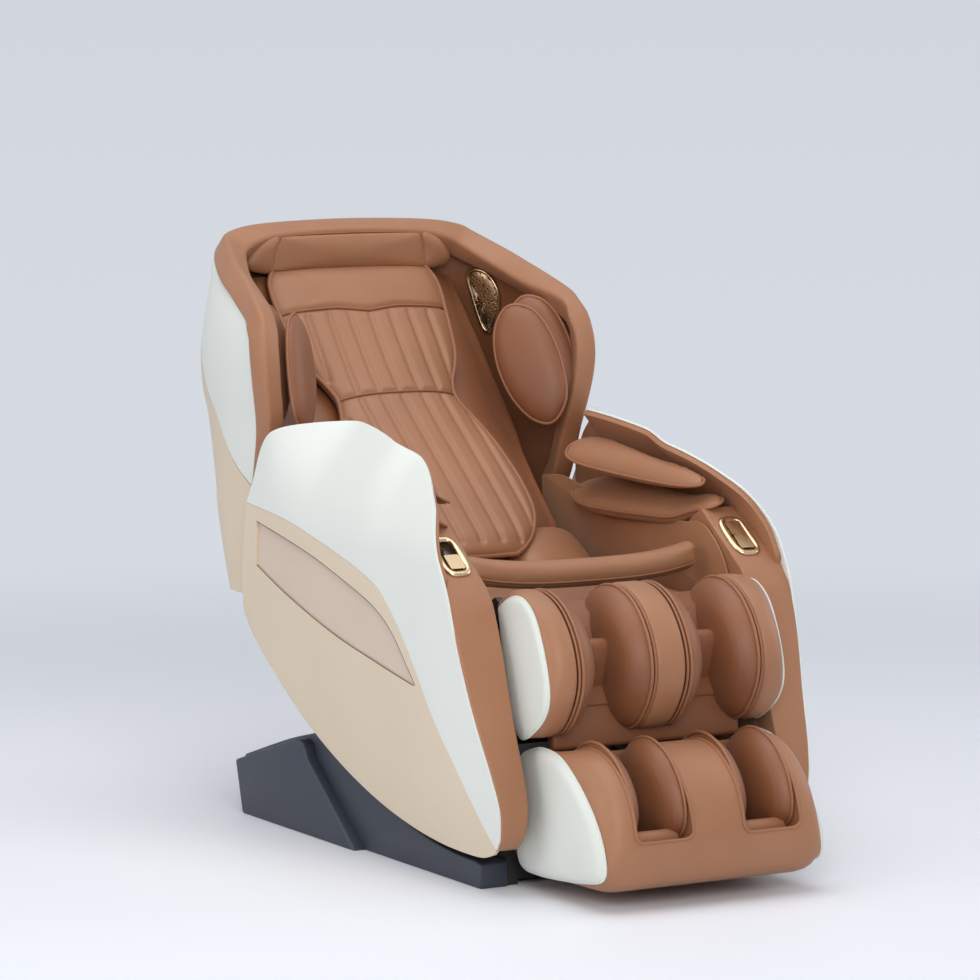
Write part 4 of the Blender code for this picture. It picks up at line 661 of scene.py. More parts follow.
def arm_set(side, sign):
    """One arm's shells, recess, ridge lining, front band, bezel and inner panel."""
    shield_low = [(y, z + SKIN_GAP) for y, z in SHIELD_SEAM]
    shield = sheet_shell(f"arm_white_shield_{side}", arm_rows(shield_low, SHIELD_TOP, 120, 30, sign),
                         SHIELD_WALL, WHITE_SHELL, outward_x(sign), SHELL_EDGE)
    dress(shield, "seat", "white", f"arm_shield_{side}")

    panel = sheet_shell(f"arm_beige_panel_{side}", arm_rows(PANEL_BOTTOM, SHIELD_SEAM, 110, 30, sign),
                        PANEL_WALL, BEIGE_SHELL, outward_x(sign), SHELL_EDGE)
    ring = [*spread(smooth(RECESS_TOP), 60), *spread(smooth(RECESS_LOW), 60)[-2::-1]]
    cutter = new_object("recess_cutter", loft(
        [[(sign * (shield_x(y, z) - RECESS_DEPTH - RECESS_CLEARANCE), y, z) for y, z in ring],
         [(sign * (shield_x(y, z) + CUTTER_REACH), y, z) for y, z in ring]]), BEIGE_SHELL)
    recess = panel.modifiers.new("recess", "BOOLEAN")
    recess.operation = "DIFFERENCE"
    recess.object = cutter
    settle(panel)
    bpy.data.objects.remove(cutter)
    panel.data.set_sharp_from_angle(angle=math.radians(30))
    dress(panel, "seat", "beige", f"arm_panel_{side}")

    inlay = sheet_shell(f"arm_recess_inlay_{side}",
                        arm_rows(RECESS_LOW, RECESS_TOP, 80, 12, sign, RECESS_RISE, RECESS_DEPTH),
                        wall=0.0015, finish=ROSE_INLAY, outward=outward_x(sign), edge=0.0004)
    dress(inlay, "seat", "beige")
    # Painted shadow lines along the recess edges and, below, along the shield seam
    for label, curve, radius in RECESS_LINES:
        points = [(sign * (shield_x(y, z) - LINE_DEPTH), y, z) for y, z in spread(smooth(curve), 90)]
        carry(tube(f"arm_recess_{label}_line_{side}", points, radius, PAINTED_SEAM_SHADOW), inlay)
    seam_line = [(sign * (shield_x(y, z) - SEAM_DEPTH), y, z)
                 for y, z in spread(smooth(SHIELD_SEAM), 120)]
    carry(tube(f"arm_shield_seam_{side}", seam_line, radius=0.0012, finish=PAINTED_SEAM_SHADOW), inlay)

    lining = sheet_shell(f"arm_ridge_lining_{side}",
                         arm_rows(LINING_LOW, LINING_TOP, 90, 16, sign, SHIELD_WALL + LINING_GAP),
                         wall=0.011, finish=TAN_LEATHER, outward=outward_x(sign), edge=0.0045)
    dress(lining, "seat", "leather")

    inner_ring = [(sign * BAND_INNER, y, z) for y, z in band_outline]
    outer_ring = [(sign * (shield_x(y, z) - SHIELD_WALL + BAND_LAP), y, z) for y, z in band_outline]
    band = new_object(f"arm_front_band_{side}", loft([inner_ring, outer_ring]), TAN_LEATHER)
    rounded(band, width=0.011, segments=5, angle=40)
    dress(band, "seat", "leather", f"arm_band_{side}")
    control_bezel(side, sign)
    inner = slab(f"arm_inner_panel_{side}", INNER_PANEL, sorted(sign * x for x in INNER_PANEL_X),
                 TAN_LEATHER, edge=0.0012, segments=2)
    dress(inner, "seat", "leather")


for side, sign in SIDES:
    arm_set(side, sign)

# Outlines of the arm rests as (Y, X), tilted up to the outside and to the back
LOWER_REST = [(0.175, 0.252), (0.205, 0.282), (0.18, 0.314), (0.05, 0.320), (-0.10, 0.318), (-0.22, 0.317),
              (-0.262, 0.313), (-0.278, 0.296), (-0.262, 0.273), (-0.20, 0.258), (-0.10, 0.244),
              (0.0, 0.233), (0.10, 0.230)]
UPPER_REST = [(0.125, 0.208), (0.148, 0.235), (0.12, 0.264), (0.02, 0.270), (-0.12, 0.272), (-0.205, 0.280),
              (-0.246, 0.282), (-0.256, 0.266), (-0.220, 0.249), (-0.14, 0.231), (-0.02, 0.212),
              (0.07, 0.202)]
REST_PIPING = 0.0028
LOWER_REST_X = 0.285
LOWER_REST_Z = 0.617
LOWER_REST_SLOPE = 0.42
REAR_LIFT = 0.010
TIP_LIFT = 0.017
UPPER_REST_X = 0.236
UPPER_REST_Y = -0.07
UPPER_REST_Z = 0.684
UPPER_REST_SLOPE = 0.52
UPPER_REST_RISE = 0.145


def lower_rest_place(y, x, height):
    """A point of the lower rest, which also lifts at its front tip."""
    lift = REAR_LIFT * ease((y + 0.25) / 0.4) + TIP_LIFT * ease((-0.16 - y) / 0.10)
    return Vector((x, y, LOWER_REST_Z + lift + LOWER_REST_SLOPE * (x - LOWER_REST_X) + height))


def upper_rest_place(y, x, height):
    """A point of the upper rest."""
    rise = UPPER_REST_SLOPE * (x - UPPER_REST_X) + UPPER_REST_RISE * (y - UPPER_REST_Y)
    return Vector((x, y, UPPER_REST_Z + rise + height))


def arm_rest(label, outline, place, top, bottom):
    """A leaf of padding with piping round its seam, made once and mirrored."""
    rest, seam = stuffed_leaf(f"arm_rest_{label}_right", smooth_loop(outline, 8), place, top, bottom,
                              TAN_LEATHER, swell=0.009)
    both_sides(rest, f"arm_rest_{label}_left", [(f"arm_rest_{label}_piping", seam, REST_PIPING)], "seat",
               "leather", f"arm_pad_{label}")


arm_rest("lower", LOWER_REST, lower_rest_place, top=0.022, bottom=0.026)
arm_rest("upper", UPPER_REST, upper_rest_place, top=0.022, bottom=0.018)


# Seat cushion, front bolster and hip cushions

def soft_block(half, middle, power, turn=None, segments=(48, 24)):
    """A puffed block with a crown on every side."""
    bm = bmesh.new()
    bmesh.ops.create_uvsphere(bm, u_segments=segments[0], v_segments=segments[1], radius=1)
    for vert in bm.verts:
        x, y, z = vert.co
        heading = math.atan2(y, x)
        girth = math.hypot(x, y) ** power[0]
        across = signed_power(math.cos(heading), power[1])
        forward = signed_power(math.sin(heading), power[1])
        vert.co = (half[0] * girth * across, half[1] * girth * forward,
                   half[2] * signed_power(z, power[0]))
    bmesh.ops.remove_doubles(bm, verts=bm.verts, dist=1e-5)
    bm.transform(Matrix.Translation(middle) @ (turn or Matrix()))
    return bm


def block_seam(half, middle, z_share, power, turn=None, count=120):
    """The seam line round a puffed block at a share of its height."""
    girth = max(1 - abs(z_share) ** (2 / power[0]), 0.0) ** (power[0] / 2)
    seam = []
    for number in range(count):
        heading = 2 * math.pi * number / count
        across = signed_power(math.cos(heading), power[1])
        forward = signed_power(math.sin(heading), power[1])
        point = Vector((half[0] * girth * across, half[1] * girth * forward, half[2] * z_share))
        seam.append(Matrix.Translation(middle) @ (turn or Matrix()) @ point)
    return seam


SEAT_HALF = (0.252, 0.157, 0.046)
SEAT_MIDDLE = (0, -0.11, 0.4455)
SEAT_POWER = (0.5, 0.3)
SEAT_SEAM = 0.55
seat_block = soft_block(SEAT_HALF, SEAT_MIDDLE, SEAT_POWER)
seat_cushion = new_object("seat_leather_cushion", seat_block, TAN_LEATHER)
seat_seam = block_seam(SEAT_HALF, SEAT_MIDDLE, SEAT_SEAM, SEAT_POWER)
stuff(seat_cushion, seat_seam, swell=0.014, voxel=0.006)
dress(seat_cushion, "seat", "leather", "seat_cushion")
carry(tube("seat_cushion_piping", seat_seam, radius=0.0025, finish=CORD_LEATHER, closed=True), seat_cushion)

BOLSTER_HALF = (0.246, 0.025, 0.025)
BOLSTER_MIDDLE = (0, -0.287, 0.532)
BOLSTER_SWEEP = 0.020
BOLSTER_POWER = 0.8
BOLSTER_STEPS = 80
BOLSTER_SIDES = 36
BOLSTER_END = 0.07
BOLSTER_POLE = 0.02
GATHER_DEPTH = 0.05
GATHER_START = 0.72
GATHER_REACH = 0.25
BOLSTER_SEAM_REACH = 0.97
BOLSTER_SEAM_TURN = math.radians(205)


def bolster_place(share, turn):
    """A point of the front bolster: its ends sweep up and back and are gathered."""
    end = abs(share)
    close = min((1 - end) / BOLSTER_END, 1.0)
    girth = max(1 - (1 - close) ** 2, BOLSTER_POLE) ** 0.5
    fold = math.sin(7 * turn + 3 * share)
    gather = 1 + GATHER_DEPTH * fold * ease((end - GATHER_START) / GATHER_REACH)
    forward = signed_power(math.cos(turn), BOLSTER_POWER) * BOLSTER_HALF[1] * girth * gather
    high = signed_power(math.sin(turn), BOLSTER_POWER) * BOLSTER_HALF[2] * girth * gather
    sweep = BOLSTER_SWEEP * end**3
    return (share * BOLSTER_HALF[0], BOLSTER_MIDDLE[1] + sweep + forward, BOLSTER_MIDDLE[2] + sweep + high)


bolster_rings = [[bolster_place(-1 + 2 * n / BOLSTER_STEPS, 2 * math.pi * m / BOLSTER_SIDES)
                  for m in range(BOLSTER_SIDES)] for n in range(BOLSTER_STEPS + 1)]
bolster = new_object("seat_front_bolster", loft(bolster_rings), TAN_LEATHER)
bolster_seam = [bolster_place(-BOLSTER_SEAM_REACH + 2 * BOLSTER_SEAM_REACH * n / BOLSTER_STEPS,
                              BOLSTER_SEAM_TURN) for n in range(BOLSTER_STEPS + 1)]
stuff(bolster, bolster_seam, swell=0.005)
dress(bolster, "seat", "leather", "seat_bolster")
carry(tube("seat_bolster_piping", bolster_seam, radius=0.0018, finish=CORD_LEATHER), bolster)

# Hip cushions and the cushion between them lean with the backrest and close the gap above the seat
HIP_HALF = (0.086, 0.078, 0.052)
HIP_MIDDLE = (0.160, 0.128, 0.490)
LOWER_HALF = (0.105, 0.070, 0.046)
LOWER_MIDDLE = (0, 0.132, 0.470)
HIP_LEAN = math.radians(28)
hip_turn = Matrix.Rotation(HIP_LEAN, 4, "X")
for side, sign in SIDES:
    hip_place = (sign * HIP_MIDDLE[0], HIP_MIDDLE[1], HIP_MIDDLE[2])
    hip_block = soft_block(HIP_HALF, hip_place, power=(0.6, 0.5), turn=hip_turn, segments=(32, 18))
    hip = new_object(f"seat_hip_cushion_{side}", hip_block, TAN_LEATHER)
    stuff(hip, [], swell=0.006, voxel=0.006)
    dress(hip, "backrest", "leather")
lower_block = soft_block(LOWER_HALF, LOWER_MIDDLE, power=(0.6, 0.35), turn=hip_turn, segments=(36, 18))
lower_cushion = new_object("back_lower_cushion", lower_block, TAN_LEATHER)
dress(lower_cushion, "backrest", "leather")


# Backrest: white hood, beige cover, leather rim, lining and quilted pad

HOOD_WALL = 0.005
HOOD_EDGE = 0.0018
SEAM_GAP = 0.002
LINING_INSET = 0.0109
COVER_BOTTOM = 0.43
HOOD_TOP = 1.10
HOOD_STEPS = 36
COVER_STEPS = 30
# The hood's top edge is drawn in by up to this much from this height on, to lie under the rim
RIM_TUCK = 0.012
TUCK_START = 1.06
PLAN_POWER = 3.5
BACK_LEVELS = smooth([
    (COVER_BOTTOM, 0.322, 0.445, 0.585), (0.50, 0.328, 0.42, 0.630), (0.58, 0.333, 0.39, 0.672),
    (0.64, 0.336, 0.345, 0.698), (0.753, 0.343, 0.308, 0.733), (0.815, 0.355, 0.295, 0.744),
    (0.887, 0.362, 0.292, 0.738), (0.947, 0.357, 0.312, 0.722), (0.989, 0.345, 0.361, 0.708),
    (1.021, 0.329, 0.437, 0.697), (1.051, 0.31, 0.529, 0.684), (1.088, 0.272, 0.625, 0.668),
    (HOOD_TOP, 0.245, 0.634, 0.663)], 10)
SEAM_HEIGHTS = smooth([(0.30, 0.628), (0.345, 0.635), (0.396, 0.651), (0.479, 0.706), (0.555, 0.812),
                       (0.61, 0.90), (0.66, 0.95), (0.72, 0.968), (0.80, 0.97)], 6)


def back_point(turn, z):
    """A point of the back shell: turn runs from 0 at the right wing edge to pi at the left."""
    half_width, front, rear = read_table(BACK_LEVELS, z)
    across = signed_power(math.cos(turn), 2 / PLAN_POWER)
    back = max(math.sin(turn), 0.0) ** (2 / PLAN_POWER)
    return Vector((half_width * across, front + (rear - front) * back, z))


def seam_height(turn):
    """Height of the seam between hood and back cover at a turn."""
    z = 0.8
    for _ in range(40):
        z = 0.5 * z + 0.5 * read_table(SEAM_HEIGHTS, back_point(turn, z).y)[0]
    return z


def back_inset(turn, z, depth):
    """A point at a depth inside the back shell."""
    small = 1e-3
    turned_by = back_point(min(turn + small, math.pi), z) - back_point(max(turn - small, 0), z)
    raised_by = back_point(turn, z + small) - back_point(turn, z - small)
    inward = turned_by.cross(raised_by).normalized()
    if inward.dot(Vector((0, 0.5, z)) - back_point(turn, z)) < 0:
        inward.negate()
    return back_point(turn, z) + inward * depth


def outward_back(place):
    """The outward direction of the back shells, as sheet_shell asks for it."""
    return place - Vector((0, 0.45, place.z))


TURN_STEPS = 120
turns = [math.pi * step / TURN_STEPS for step in range(TURN_STEPS + 1)]
seam_heights = [seam_height(t) for t in turns]
hood_rows = []
cover_rows = []
for step in range(HOOD_STEPS + 1):
    share = step / HOOD_STEPS
    heights = [low + SEAM_GAP + (HOOD_TOP - low - SEAM_GAP) * share for low in seam_heights]
    tucks = [RIM_TUCK * max((z - TUCK_START) / (HOOD_TOP - TUCK_START), 0.0) ** 2 for z in heights]
    hood_rows.append([back_inset(t, z, tuck) for t, z, tuck in zip(turns, heights, tucks)])
for step in range(COVER_STEPS + 1):
    share = step / COVER_STEPS
    cover_rows.append([back_point(t, COVER_BOTTOM + (high - COVER_BOTTOM) * share)
                       for t, high in zip(turns, seam_heights)])
dress(sheet_shell("hood_white_shell", hood_rows, HOOD_WALL, WHITE_SHELL, outward_back, HOOD_EDGE),
      "backrest", "white", "hood_shell")
dress(sheet_shell("back_beige_cover", cover_rows, HOOD_WALL, BEIGE_SHELL, outward_back, HOOD_EDGE),
      "backrest", "beige", "back_cover")
# Painted shadow line along the seam between hood and back cover
seam_points = [back_inset(t, low + SEAM_GAP / 2, SEAM_DEPTH) for t, low in zip(turns, seam_heights)]
dress(tube("back_shell_seam", seam_points, radius=0.0014, finish=PAINTED_SEAM_SHADOW), "backrest", "black")

# Rim: a broad leather band wrapped over the shell's edge, up one wing, over the top and down the other
RIM_WIDTH = 0.040
RIM_OVERLAP = 0.007
RIM_PROUD = 0.014
RIM_HALF_DEPTH = 0.024
RIM_OUTER_SET = 0.012
RIM_INNER_SET = 0.022
RIM_INNER_DROP = 0.004
RIM_POWER = 0.42
RIM_SIDES = 32
RIM_END = (0.6, 0.4)
RIM_END_RINGS = 3
rim_outer = []
rim_inner = []
for z in (0.60, 0.645, 0.69, 0.74, 0.79, 0.84, 0.89, 0.935, 0.965):
    half_width, front, _ = read_table(BACK_LEVELS, z)
    rim_outer.append((half_width + RIM_OVERLAP, front + RIM_OUTER_SET - RIM_PROUD, z))
    rim_inner.append((half_width + RIM_OVERLAP - RIM_WIDTH, front + RIM_INNER_SET - RIM_PROUD,
                      z - RIM_INNER_DROP))
rim_outer += [(0.338, 0.430, 1.020), (0.319, 0.520, 1.054), (0.281, 0.618, 1.090), (0.245, 0.640, 1.104),
              (0.16, 0.652, 1.110)]
rim_inner += [(0.300, 0.436, 0.990), (0.280, 0.516, 1.020), (0.244, 0.590, 1.056), (0.210, 0.602, 1.074),
              (0.15, 0.606, 1.086)]
RIM_TOP = ((0, 0.656, 1.113), (0, 0.608, 1.092))


def over_the_top(side_points, middle):
    """The path from the left wing over the middle to the right wing."""
    whole = [(-x, y, z) for x, y, z in side_points] + [middle] + side_points[::-1]
    return [Vector(point) for point in spread(smooth(whole), 160)]


def rim_rings():
    """Flat sections of the rim between its outer and inner edges, with rolled corners."""
    outer = over_the_top(rim_outer, RIM_TOP[0])
    inner = over_the_top(rim_inner, RIM_TOP[1])
    rings = []
    for index, (outside, inside) in enumerate(zip(outer, inner)):
        middle = (outside + inside) / 2
        ahead = outer[min(index + 1, len(outer) - 1)] - outer[max(index - 1, 0)]
        half = (outside - inside) / 2
        forward = half.cross(ahead).normalized() * RIM_HALF_DEPTH
        if forward.y > 0:
            forward.negate()
        from_end = min(index, len(outer) - 1 - index)
        close = RIM_END[0] + RIM_END[1] * min(from_end / RIM_END_RINGS, 1.0)
        ring = []
        for number in range(RIM_SIDES):
            turn = 2 * math.pi * number / RIM_SIDES
            a = signed_power(math.cos(turn), RIM_POWER) * close
            b = signed_power(math.sin(turn), RIM_POWER) * close
            ring.append(middle + half * a + forward * b)
        rings.append(ring)
    return rings


rim = new_object("hood_leather_rim", loft(rim_rings()), TAN_LEATHER)
dress(rim, "backrest", "leather", "hood_rim")

LINING_BOTTOM = 0.50
LINING_START = 0.018
LINING_CEILING = 1.085
LINING_ROWS = 30
LINING_COLUMNS = 80


def lining_start(z):
    """Turn at which the lining starts, just behind the rim."""
    _, front, rear = read_table(BACK_LEVELS, z)
    share = min(LINING_START / (rear - front), 0.75)
    return math.asin(share ** (PLAN_POWER / 2))


lining_rows = []
for step in range(LINING_ROWS + 1):
    z = LINING_BOTTOM + (LINING_CEILING - LINING_BOTTOM) * step / LINING_ROWS
    first = lining_start(z)
    lining_rows.append([back_inset(first + (math.pi - 2 * first) * n / LINING_COLUMNS, z, LINING_INSET)
                        for n in range(LINING_COLUMNS + 1)])
# Painted shade: the lining takes the hide painted darker
lining = sheet_shell("hood_leather_lining", lining_rows, wall=0.006, finish=PAINTED_SHADE_LEATHER,
                     outward=outward_back, edge=0.002)
dress(lining, "backrest", "dark_leather", "hood_lining")

# Quilted pad: its (Y, Z) line up the back, and half widths by share of its height
PAD_CURVE = smooth([(0.075, 0.525), (0.235, 0.652), (0.411, 0.794), (0.518, 0.915), (0.585, 1.005),
                    (0.608, 1.038)], 5)
PAD_THICKNESS = 0.045
PAD_WIDTHS = smooth([(0.0, 0.074), (0.03, 0.106), (0.08, 0.138), (0.15, 0.162), (0.24, 0.170),
                     (0.33, 0.168), (0.41, 0.162), (0.48, 0.151), (0.54, 0.137), (0.585, 0.131),
                     (0.63, 0.140), (0.68, 0.160), (0.73, 0.174), (0.80, 0.182), (0.86, 0.187),
                     (0.91, 0.190), (0.96, 0.187), (1.0, 0.172)], 5)
APRON_WIDTHS = ((0.0, 0.19), (0.15, 0.228), (0.30, 0.236), (0.42, 0.246), (0.5, 0.258), (0.6, 0.266),
                (0.8, 0.264), (1.0, 0.25))
CHANNELS = 7
CHANNEL_STEP = 0.0445
SEAM_HIGH = 0.862
SEAM_LOW = 0.580
SEAM_DIP = 0.012
SEAM_SINK = 0.003
PAD_BACK_OFFSET = 0.0172
PAD_FRONT_HEIGHT = PAD_THICKNESS * 0.42
PAD_CROWN = 0.018
# Share of the pad's length at the foot, at the head and of its half width over which its front rounds off
PAD_ROUNDING = (0.05, 0.03, 0.10)
PAD_EDGE = (0.45, 0.55)
PAD_EDGE_DEPTH = PAD_THICKNESS * 0.20
PAD_BACK_DEPTH = PAD_THICKNESS * 0.27
PIPING_INSET = 0.985
PIPING_HEIGHT = PAD_THICKNESS * 0.27
PAD_ROWS = 100
PAD_COLUMNS = 48
ROW_POWER = 1.4
STITCH_REACH = 0.025
STITCH_DEPTH = 0.0060
STITCH_WIDTH = 0.0065


def path_frame(points, share):
    """Place and forward normal on a (Y, Z) path."""
    index = min(int(share * (len(points) - 1)), len(points) - 2)
    start, end = points[index], points[index + 1]
    length = math.dist(start, end)
    run = ((end[0] - start[0]) / length, (end[1] - start[1]) / length)
    part = share * (len(points) - 1) - index
    place = (start[0] + (end[0] - start[0]) * part, start[1] + (end[1] - start[1]) * part)
    return place, (-run[1], run[0])


pad_line = spread(PAD_CURVE, PAD_ROWS + 1)
pad_back = []
for number in range(PAD_ROWS + 1):
    place, front = path_frame(pad_line, number / PAD_ROWS)
    pad_back.append(along(place, front, -PAD_BACK_OFFSET))


def pad_place(u, v, height):
    """A point on the back pad: u across from -1 to 1, v up from 0 to 1, height off its middle."""
    place, front = path_frame(pad_back, min(max(v, 0.0), 1.0))
    half_width = read_table(PAD_WIDTHS, v)[0]
    y, z = along(place, front, height)
    return Vector((u * half_width, y, z))


def pad_height(u, v):
    """Height of the quilted front: a crown, with sewn lines drawn in."""
    foot, head, sides = PAD_ROUNDING
    ends = min(v / foot, (1 - v) / head, (1 - abs(u)) / sides, 1.0)
    crown = PAD_FRONT_HEIGHT + PAD_CROWN * (1 - abs(u) ** 3)
    return crown * (PAD_EDGE[0] + PAD_EDGE[1] * math.sqrt(max(ends, 0.0)))


def channel_share(number, v):
    """Where a sewn channel line runs across the pad at a height: the channels are equally wide."""
    return (number - (CHANNELS - 1) / 2) * CHANNEL_STEP / read_table(PAD_WIDTHS, v)[0]


def seam_dip(u):
    """The upper cross seam dips at the middle."""
    return SEAM_HIGH - SEAM_DIP * max(1 - abs(u) / 0.35, 0.0)


def quilt_lines():
    """The sewn lines of the back pad as rows of (u, v)."""
    lines = []
    for number in range(CHANNELS):
        share = [step / 400 for step in range(401)]
        line = [(channel_share(number, v), v) for v in share if 0.03 < v < SEAM_HIGH - SEAM_DIP]
        lines.append([(u, v) for u, v in line if abs(u) < 0.92])
    us = [-0.97 + 1.94 * n / 240 for n in range(241)]
    lines.append([(u, seam_dip(u)) for u in us])
    lines.append([(u, SEAM_LOW) for u in us])
    return lines


pad_columns = [-1 + 2 * n / PAD_COLUMNS for n in range(PAD_COLUMNS + 1)]
rows = []
for step in range(PAD_ROWS + 1):
    v = (step / PAD_ROWS) ** ROW_POWER
    row = [pad_place(-1, v, -PAD_EDGE_DEPTH)]
    row += [pad_place(u, v, pad_height(u, v)) for u in pad_columns]
    row += [pad_place(1, v, -PAD_EDGE_DEPTH)]
    row += [pad_place(u, v, -PAD_BACK_DEPTH) for u in (0.9, 0.45, 0.0, -0.45, -0.9)]
    rows.append(row)
back_pad = new_object("back_quilted_pad", loft(rows), TAN_LEATHER)
edge_uv = [(1, n / 60) for n in range(61)] + [(1 - 2 * n / 40, 1) for n in range(1, 41)]
edge_uv += [(-1, 1 - n / 60) for n in range(1, 61)] + [(-1 + 2 * n / 40, 0) for n in range(1, 40)]
edge_line = [pad_place(u * PIPING_INSET, v, PIPING_HEIGHT) for u, v in edge_uv]
sewn = [pad_place(u, v, pad_height(u, v)) for line in quilt_lines() for u, v in line]
sewn += edge_line
stuff(back_pad, sewn, swell=0.010, voxel=0.006, pressure=5.0, hold=0.0055)
sewn_tree = KDTree(len(sewn))
for number, point in enumerate(sewn[:-len(edge_line)]):
    sewn_tree.insert(point, number)
sewn_tree.balance()
_, front = path_frame(pad_back, 0.6)
for vert in back_pad.data.vertices:
    _, _, distance = sewn_tree.find(vert.co)
    if distance < STITCH_REACH:
        depth = STITCH_DEPTH * math.exp(-(distance / STITCH_WIDTH) ** 2)
        vert.co.y -= front[0] * depth
        vert.co.z -= front[1] * depth
dress(back_pad, "backrest", "leather", "back_pad")
carry(tube("back_pad_piping", edge_line, radius=0.0048, finish=CORD_LEATHER, closed=True), back_pad)
for number, line in enumerate(quilt_lines()[-2:]):
    points = [pad_place(u, v, pad_height(u, v) - SEAM_SINK) for u, v in line]
    carry(tube(f"back_pad_cross_seam_{number}", points, radius=0.0018, finish=CORD_LEATHER), back_pad)

# Smooth leather panels on both sides of the quilted pad
APRON_ROWS = 40
APRON_COLUMNS = 12
APRON_OVERLAP = 0.03
APRON_PUFF = 0.014
APRON_SINK = 0.020
APRON_DROP = 0.012
for side, sign in SIDES:
    rows = []
    for step in range(APRON_ROWS + 1):
        v = step / APRON_ROWS
        place, front = path_frame(pad_back, v)
        inner = read_table(PAD_WIDTHS, v)[0] - APRON_OVERLAP
        outer = read_table(APRON_WIDTHS, v)[0]
        row = []
        for n in range(APRON_COLUMNS + 1):
            share = n / APRON_COLUMNS
            x = inner + (outer - inner) * share
            puff = APRON_PUFF * math.sin(math.pi * min(share * 1.2, 1.0))
            y, z = along(place, front, -APRON_SINK + puff - APRON_DROP * share)
            row.append((sign * x, y, z))
        rows.append(row)
    # Painted shade: the side panels take the hide painted darker
    panel = sheet_shell(f"back_side_panel_{side}", rows, wall=0.008, finish=PAINTED_SHADE_LEATHER,
                        outward=lambda place: Vector((0, -0.8, 0.6)), edge=0.002)
    dress(panel, "backrest", "leather")

# Head flap above the pad: outlines as X and share of its height, with a pleat at each end
FLAP_LOW = (0.607, 1.030)
FLAP_HIGH = (0.596, 1.100)
flap_front = Vector((0, -(FLAP_HIGH[1] - FLAP_LOW[1]), FLAP_HIGH[0] - FLAP_LOW[0])).normalized()
FLAP_OUTLINE = [(-0.182, 0.02), (-0.09, 0.0), (0.0, 0.0), (0.09, 0.0), (0.182, 0.02), (0.182, 0.15),
                (0.174, 0.55), (0.160, 0.95), (0.148, 1.02), (0.0, 1.06), (-0.148, 1.02), (-0.160, 0.95),
                (-0.174, 0.55), (-0.182, 0.15)]
PLEAT_OUTLINE = [(0.170, 0.02), (0.200, 0.0), (0.226, 0.16), (0.224, 0.42), (0.205, 0.78), (0.182, 0.98),
                 (0.158, 1.0), (0.164, 0.5)]


FLAP_SINK = 0.006


def flap_place(x, share, height):
    """A point of the head flap, off its slanted plane by a height."""
    y = FLAP_LOW[0] + (FLAP_HIGH[0] - FLAP_LOW[0]) * share
    z = FLAP_LOW[1] + (FLAP_HIGH[1] - FLAP_LOW[1]) * share
    return Vector((x, y, z)) + flap_front * (height - FLAP_SINK)


flap, flap_seam = stuffed_leaf("head_flap_cushion", smooth_loop(FLAP_OUTLINE, 6), flap_place, front=0.014,
                               back=0.008, finish=TAN_LEATHER, swell=0.006)
dress(flap, "backrest", "leather", "head_pillow")
carry(tube("head_flap_piping", flap_seam, radius=0.0016, finish=CORD_LEATHER, closed=True), flap)
pleat_mesh = leaf_mesh(smooth_loop(PLEAT_OUTLINE, 6), flap_place, front=0.012, back=0.006)
pleat = new_object("head_flap_pleat_right", pleat_mesh, TAN_LEATHER)
both_sides(pleat, "head_flap_pleat_left", (), "backrest", "leather", None)

# Shoulder pads: two leaves each side, facing in and forward
SHOULDER_OUTLINE = [(0.0, 0.118), (0.036, 0.096), (0.058, 0.045), (0.066, -0.02), (0.058, -0.082),
                    (0.025, -0.118), (-0.012, -0.104), (-0.042, -0.055), (-0.056, 0.01), (-0.050, 0.07),
                    (-0.028, 0.108)]
SHOULDER_MIDDLE = Vector((0.2760, 0.3680, 0.858))
SHOULDER_PIPING = 0.0032
WING_UP = Vector((0, 0.12, 1))
shoulder_face = Vector((-0.68, -0.70, 0.20)).normalized()
shoulder_up = (WING_UP - shoulder_face * shoulder_face.dot(WING_UP)).normalized()
shoulder_across = shoulder_up.cross(shoulder_face).normalized()
if shoulder_across.x < 0:
    shoulder_across.negate()
SHOULDER_SLANT = math.radians(11)
shoulder_up, shoulder_across = (
    shoulder_up * math.cos(SHOULDER_SLANT) - shoulder_across * math.sin(SHOULDER_SLANT),
    shoulder_across * math.cos(SHOULDER_SLANT) + shoulder_up * math.sin(SHOULDER_SLANT))


def shoulder_leaf(label, shift, scale, node_stem):
    """One leaf of each shoulder pad, shifted along its face, across and up, with piping round it."""
    middle = (SHOULDER_MIDDLE + shoulder_face * shift[0] + shoulder_across * shift[1]
              + shoulder_up * shift[2])

    def place(a, b, height):
        return middle + shoulder_across * (a * scale) + shoulder_up * (b * scale) + shoulder_face * height

    # Painted shade: the shoulder leaves take the hide painted darker
    leaf, seam = stuffed_leaf(f"shoulder_{label}_leaf_right", smooth_loop(SHOULDER_OUTLINE, 8), place,
                              front=0.022, back=0.014, finish=PAINTED_SHADE_LEATHER, swell=0.007)
    both_sides(leaf, f"shoulder_{label}_leaf_left", [(f"shoulder_{label}_piping", seam, SHOULDER_PIPING)],
               "backrest", "leather", node_stem)


shoulder_leaf("inner", (0.036, -0.004, -0.012), 1.03, "shoulder_pad")
shoulder_leaf("outer", (-0.004, 0.017, 0.012), 0.98, None)

# Speakers: a bronze grille in a bright rim, high on the wing lining
SPEAKER_OUTLINE = [(-0.012, 0.060), (0.016, 0.052), (0.034, 0.022), (0.034, -0.012), (0.014, -0.054),
                   (-0.002, -0.060), (-0.014, -0.034), (-0.024, 0.010), (-0.030, 0.048)]
SPEAKER_TURN = math.radians(34)
SPEAKER_Z = 0.966
SPEAKER_DEPTH = LINING_INSET + 0.008
DOME_LIFT = 0.004
RIM_SCALE = 1.04
RIM_LIFT = 0.005
RIB_ROOT = (-0.006, -0.004)
RIB_COUNT = 18
RIB_STEPS = 5


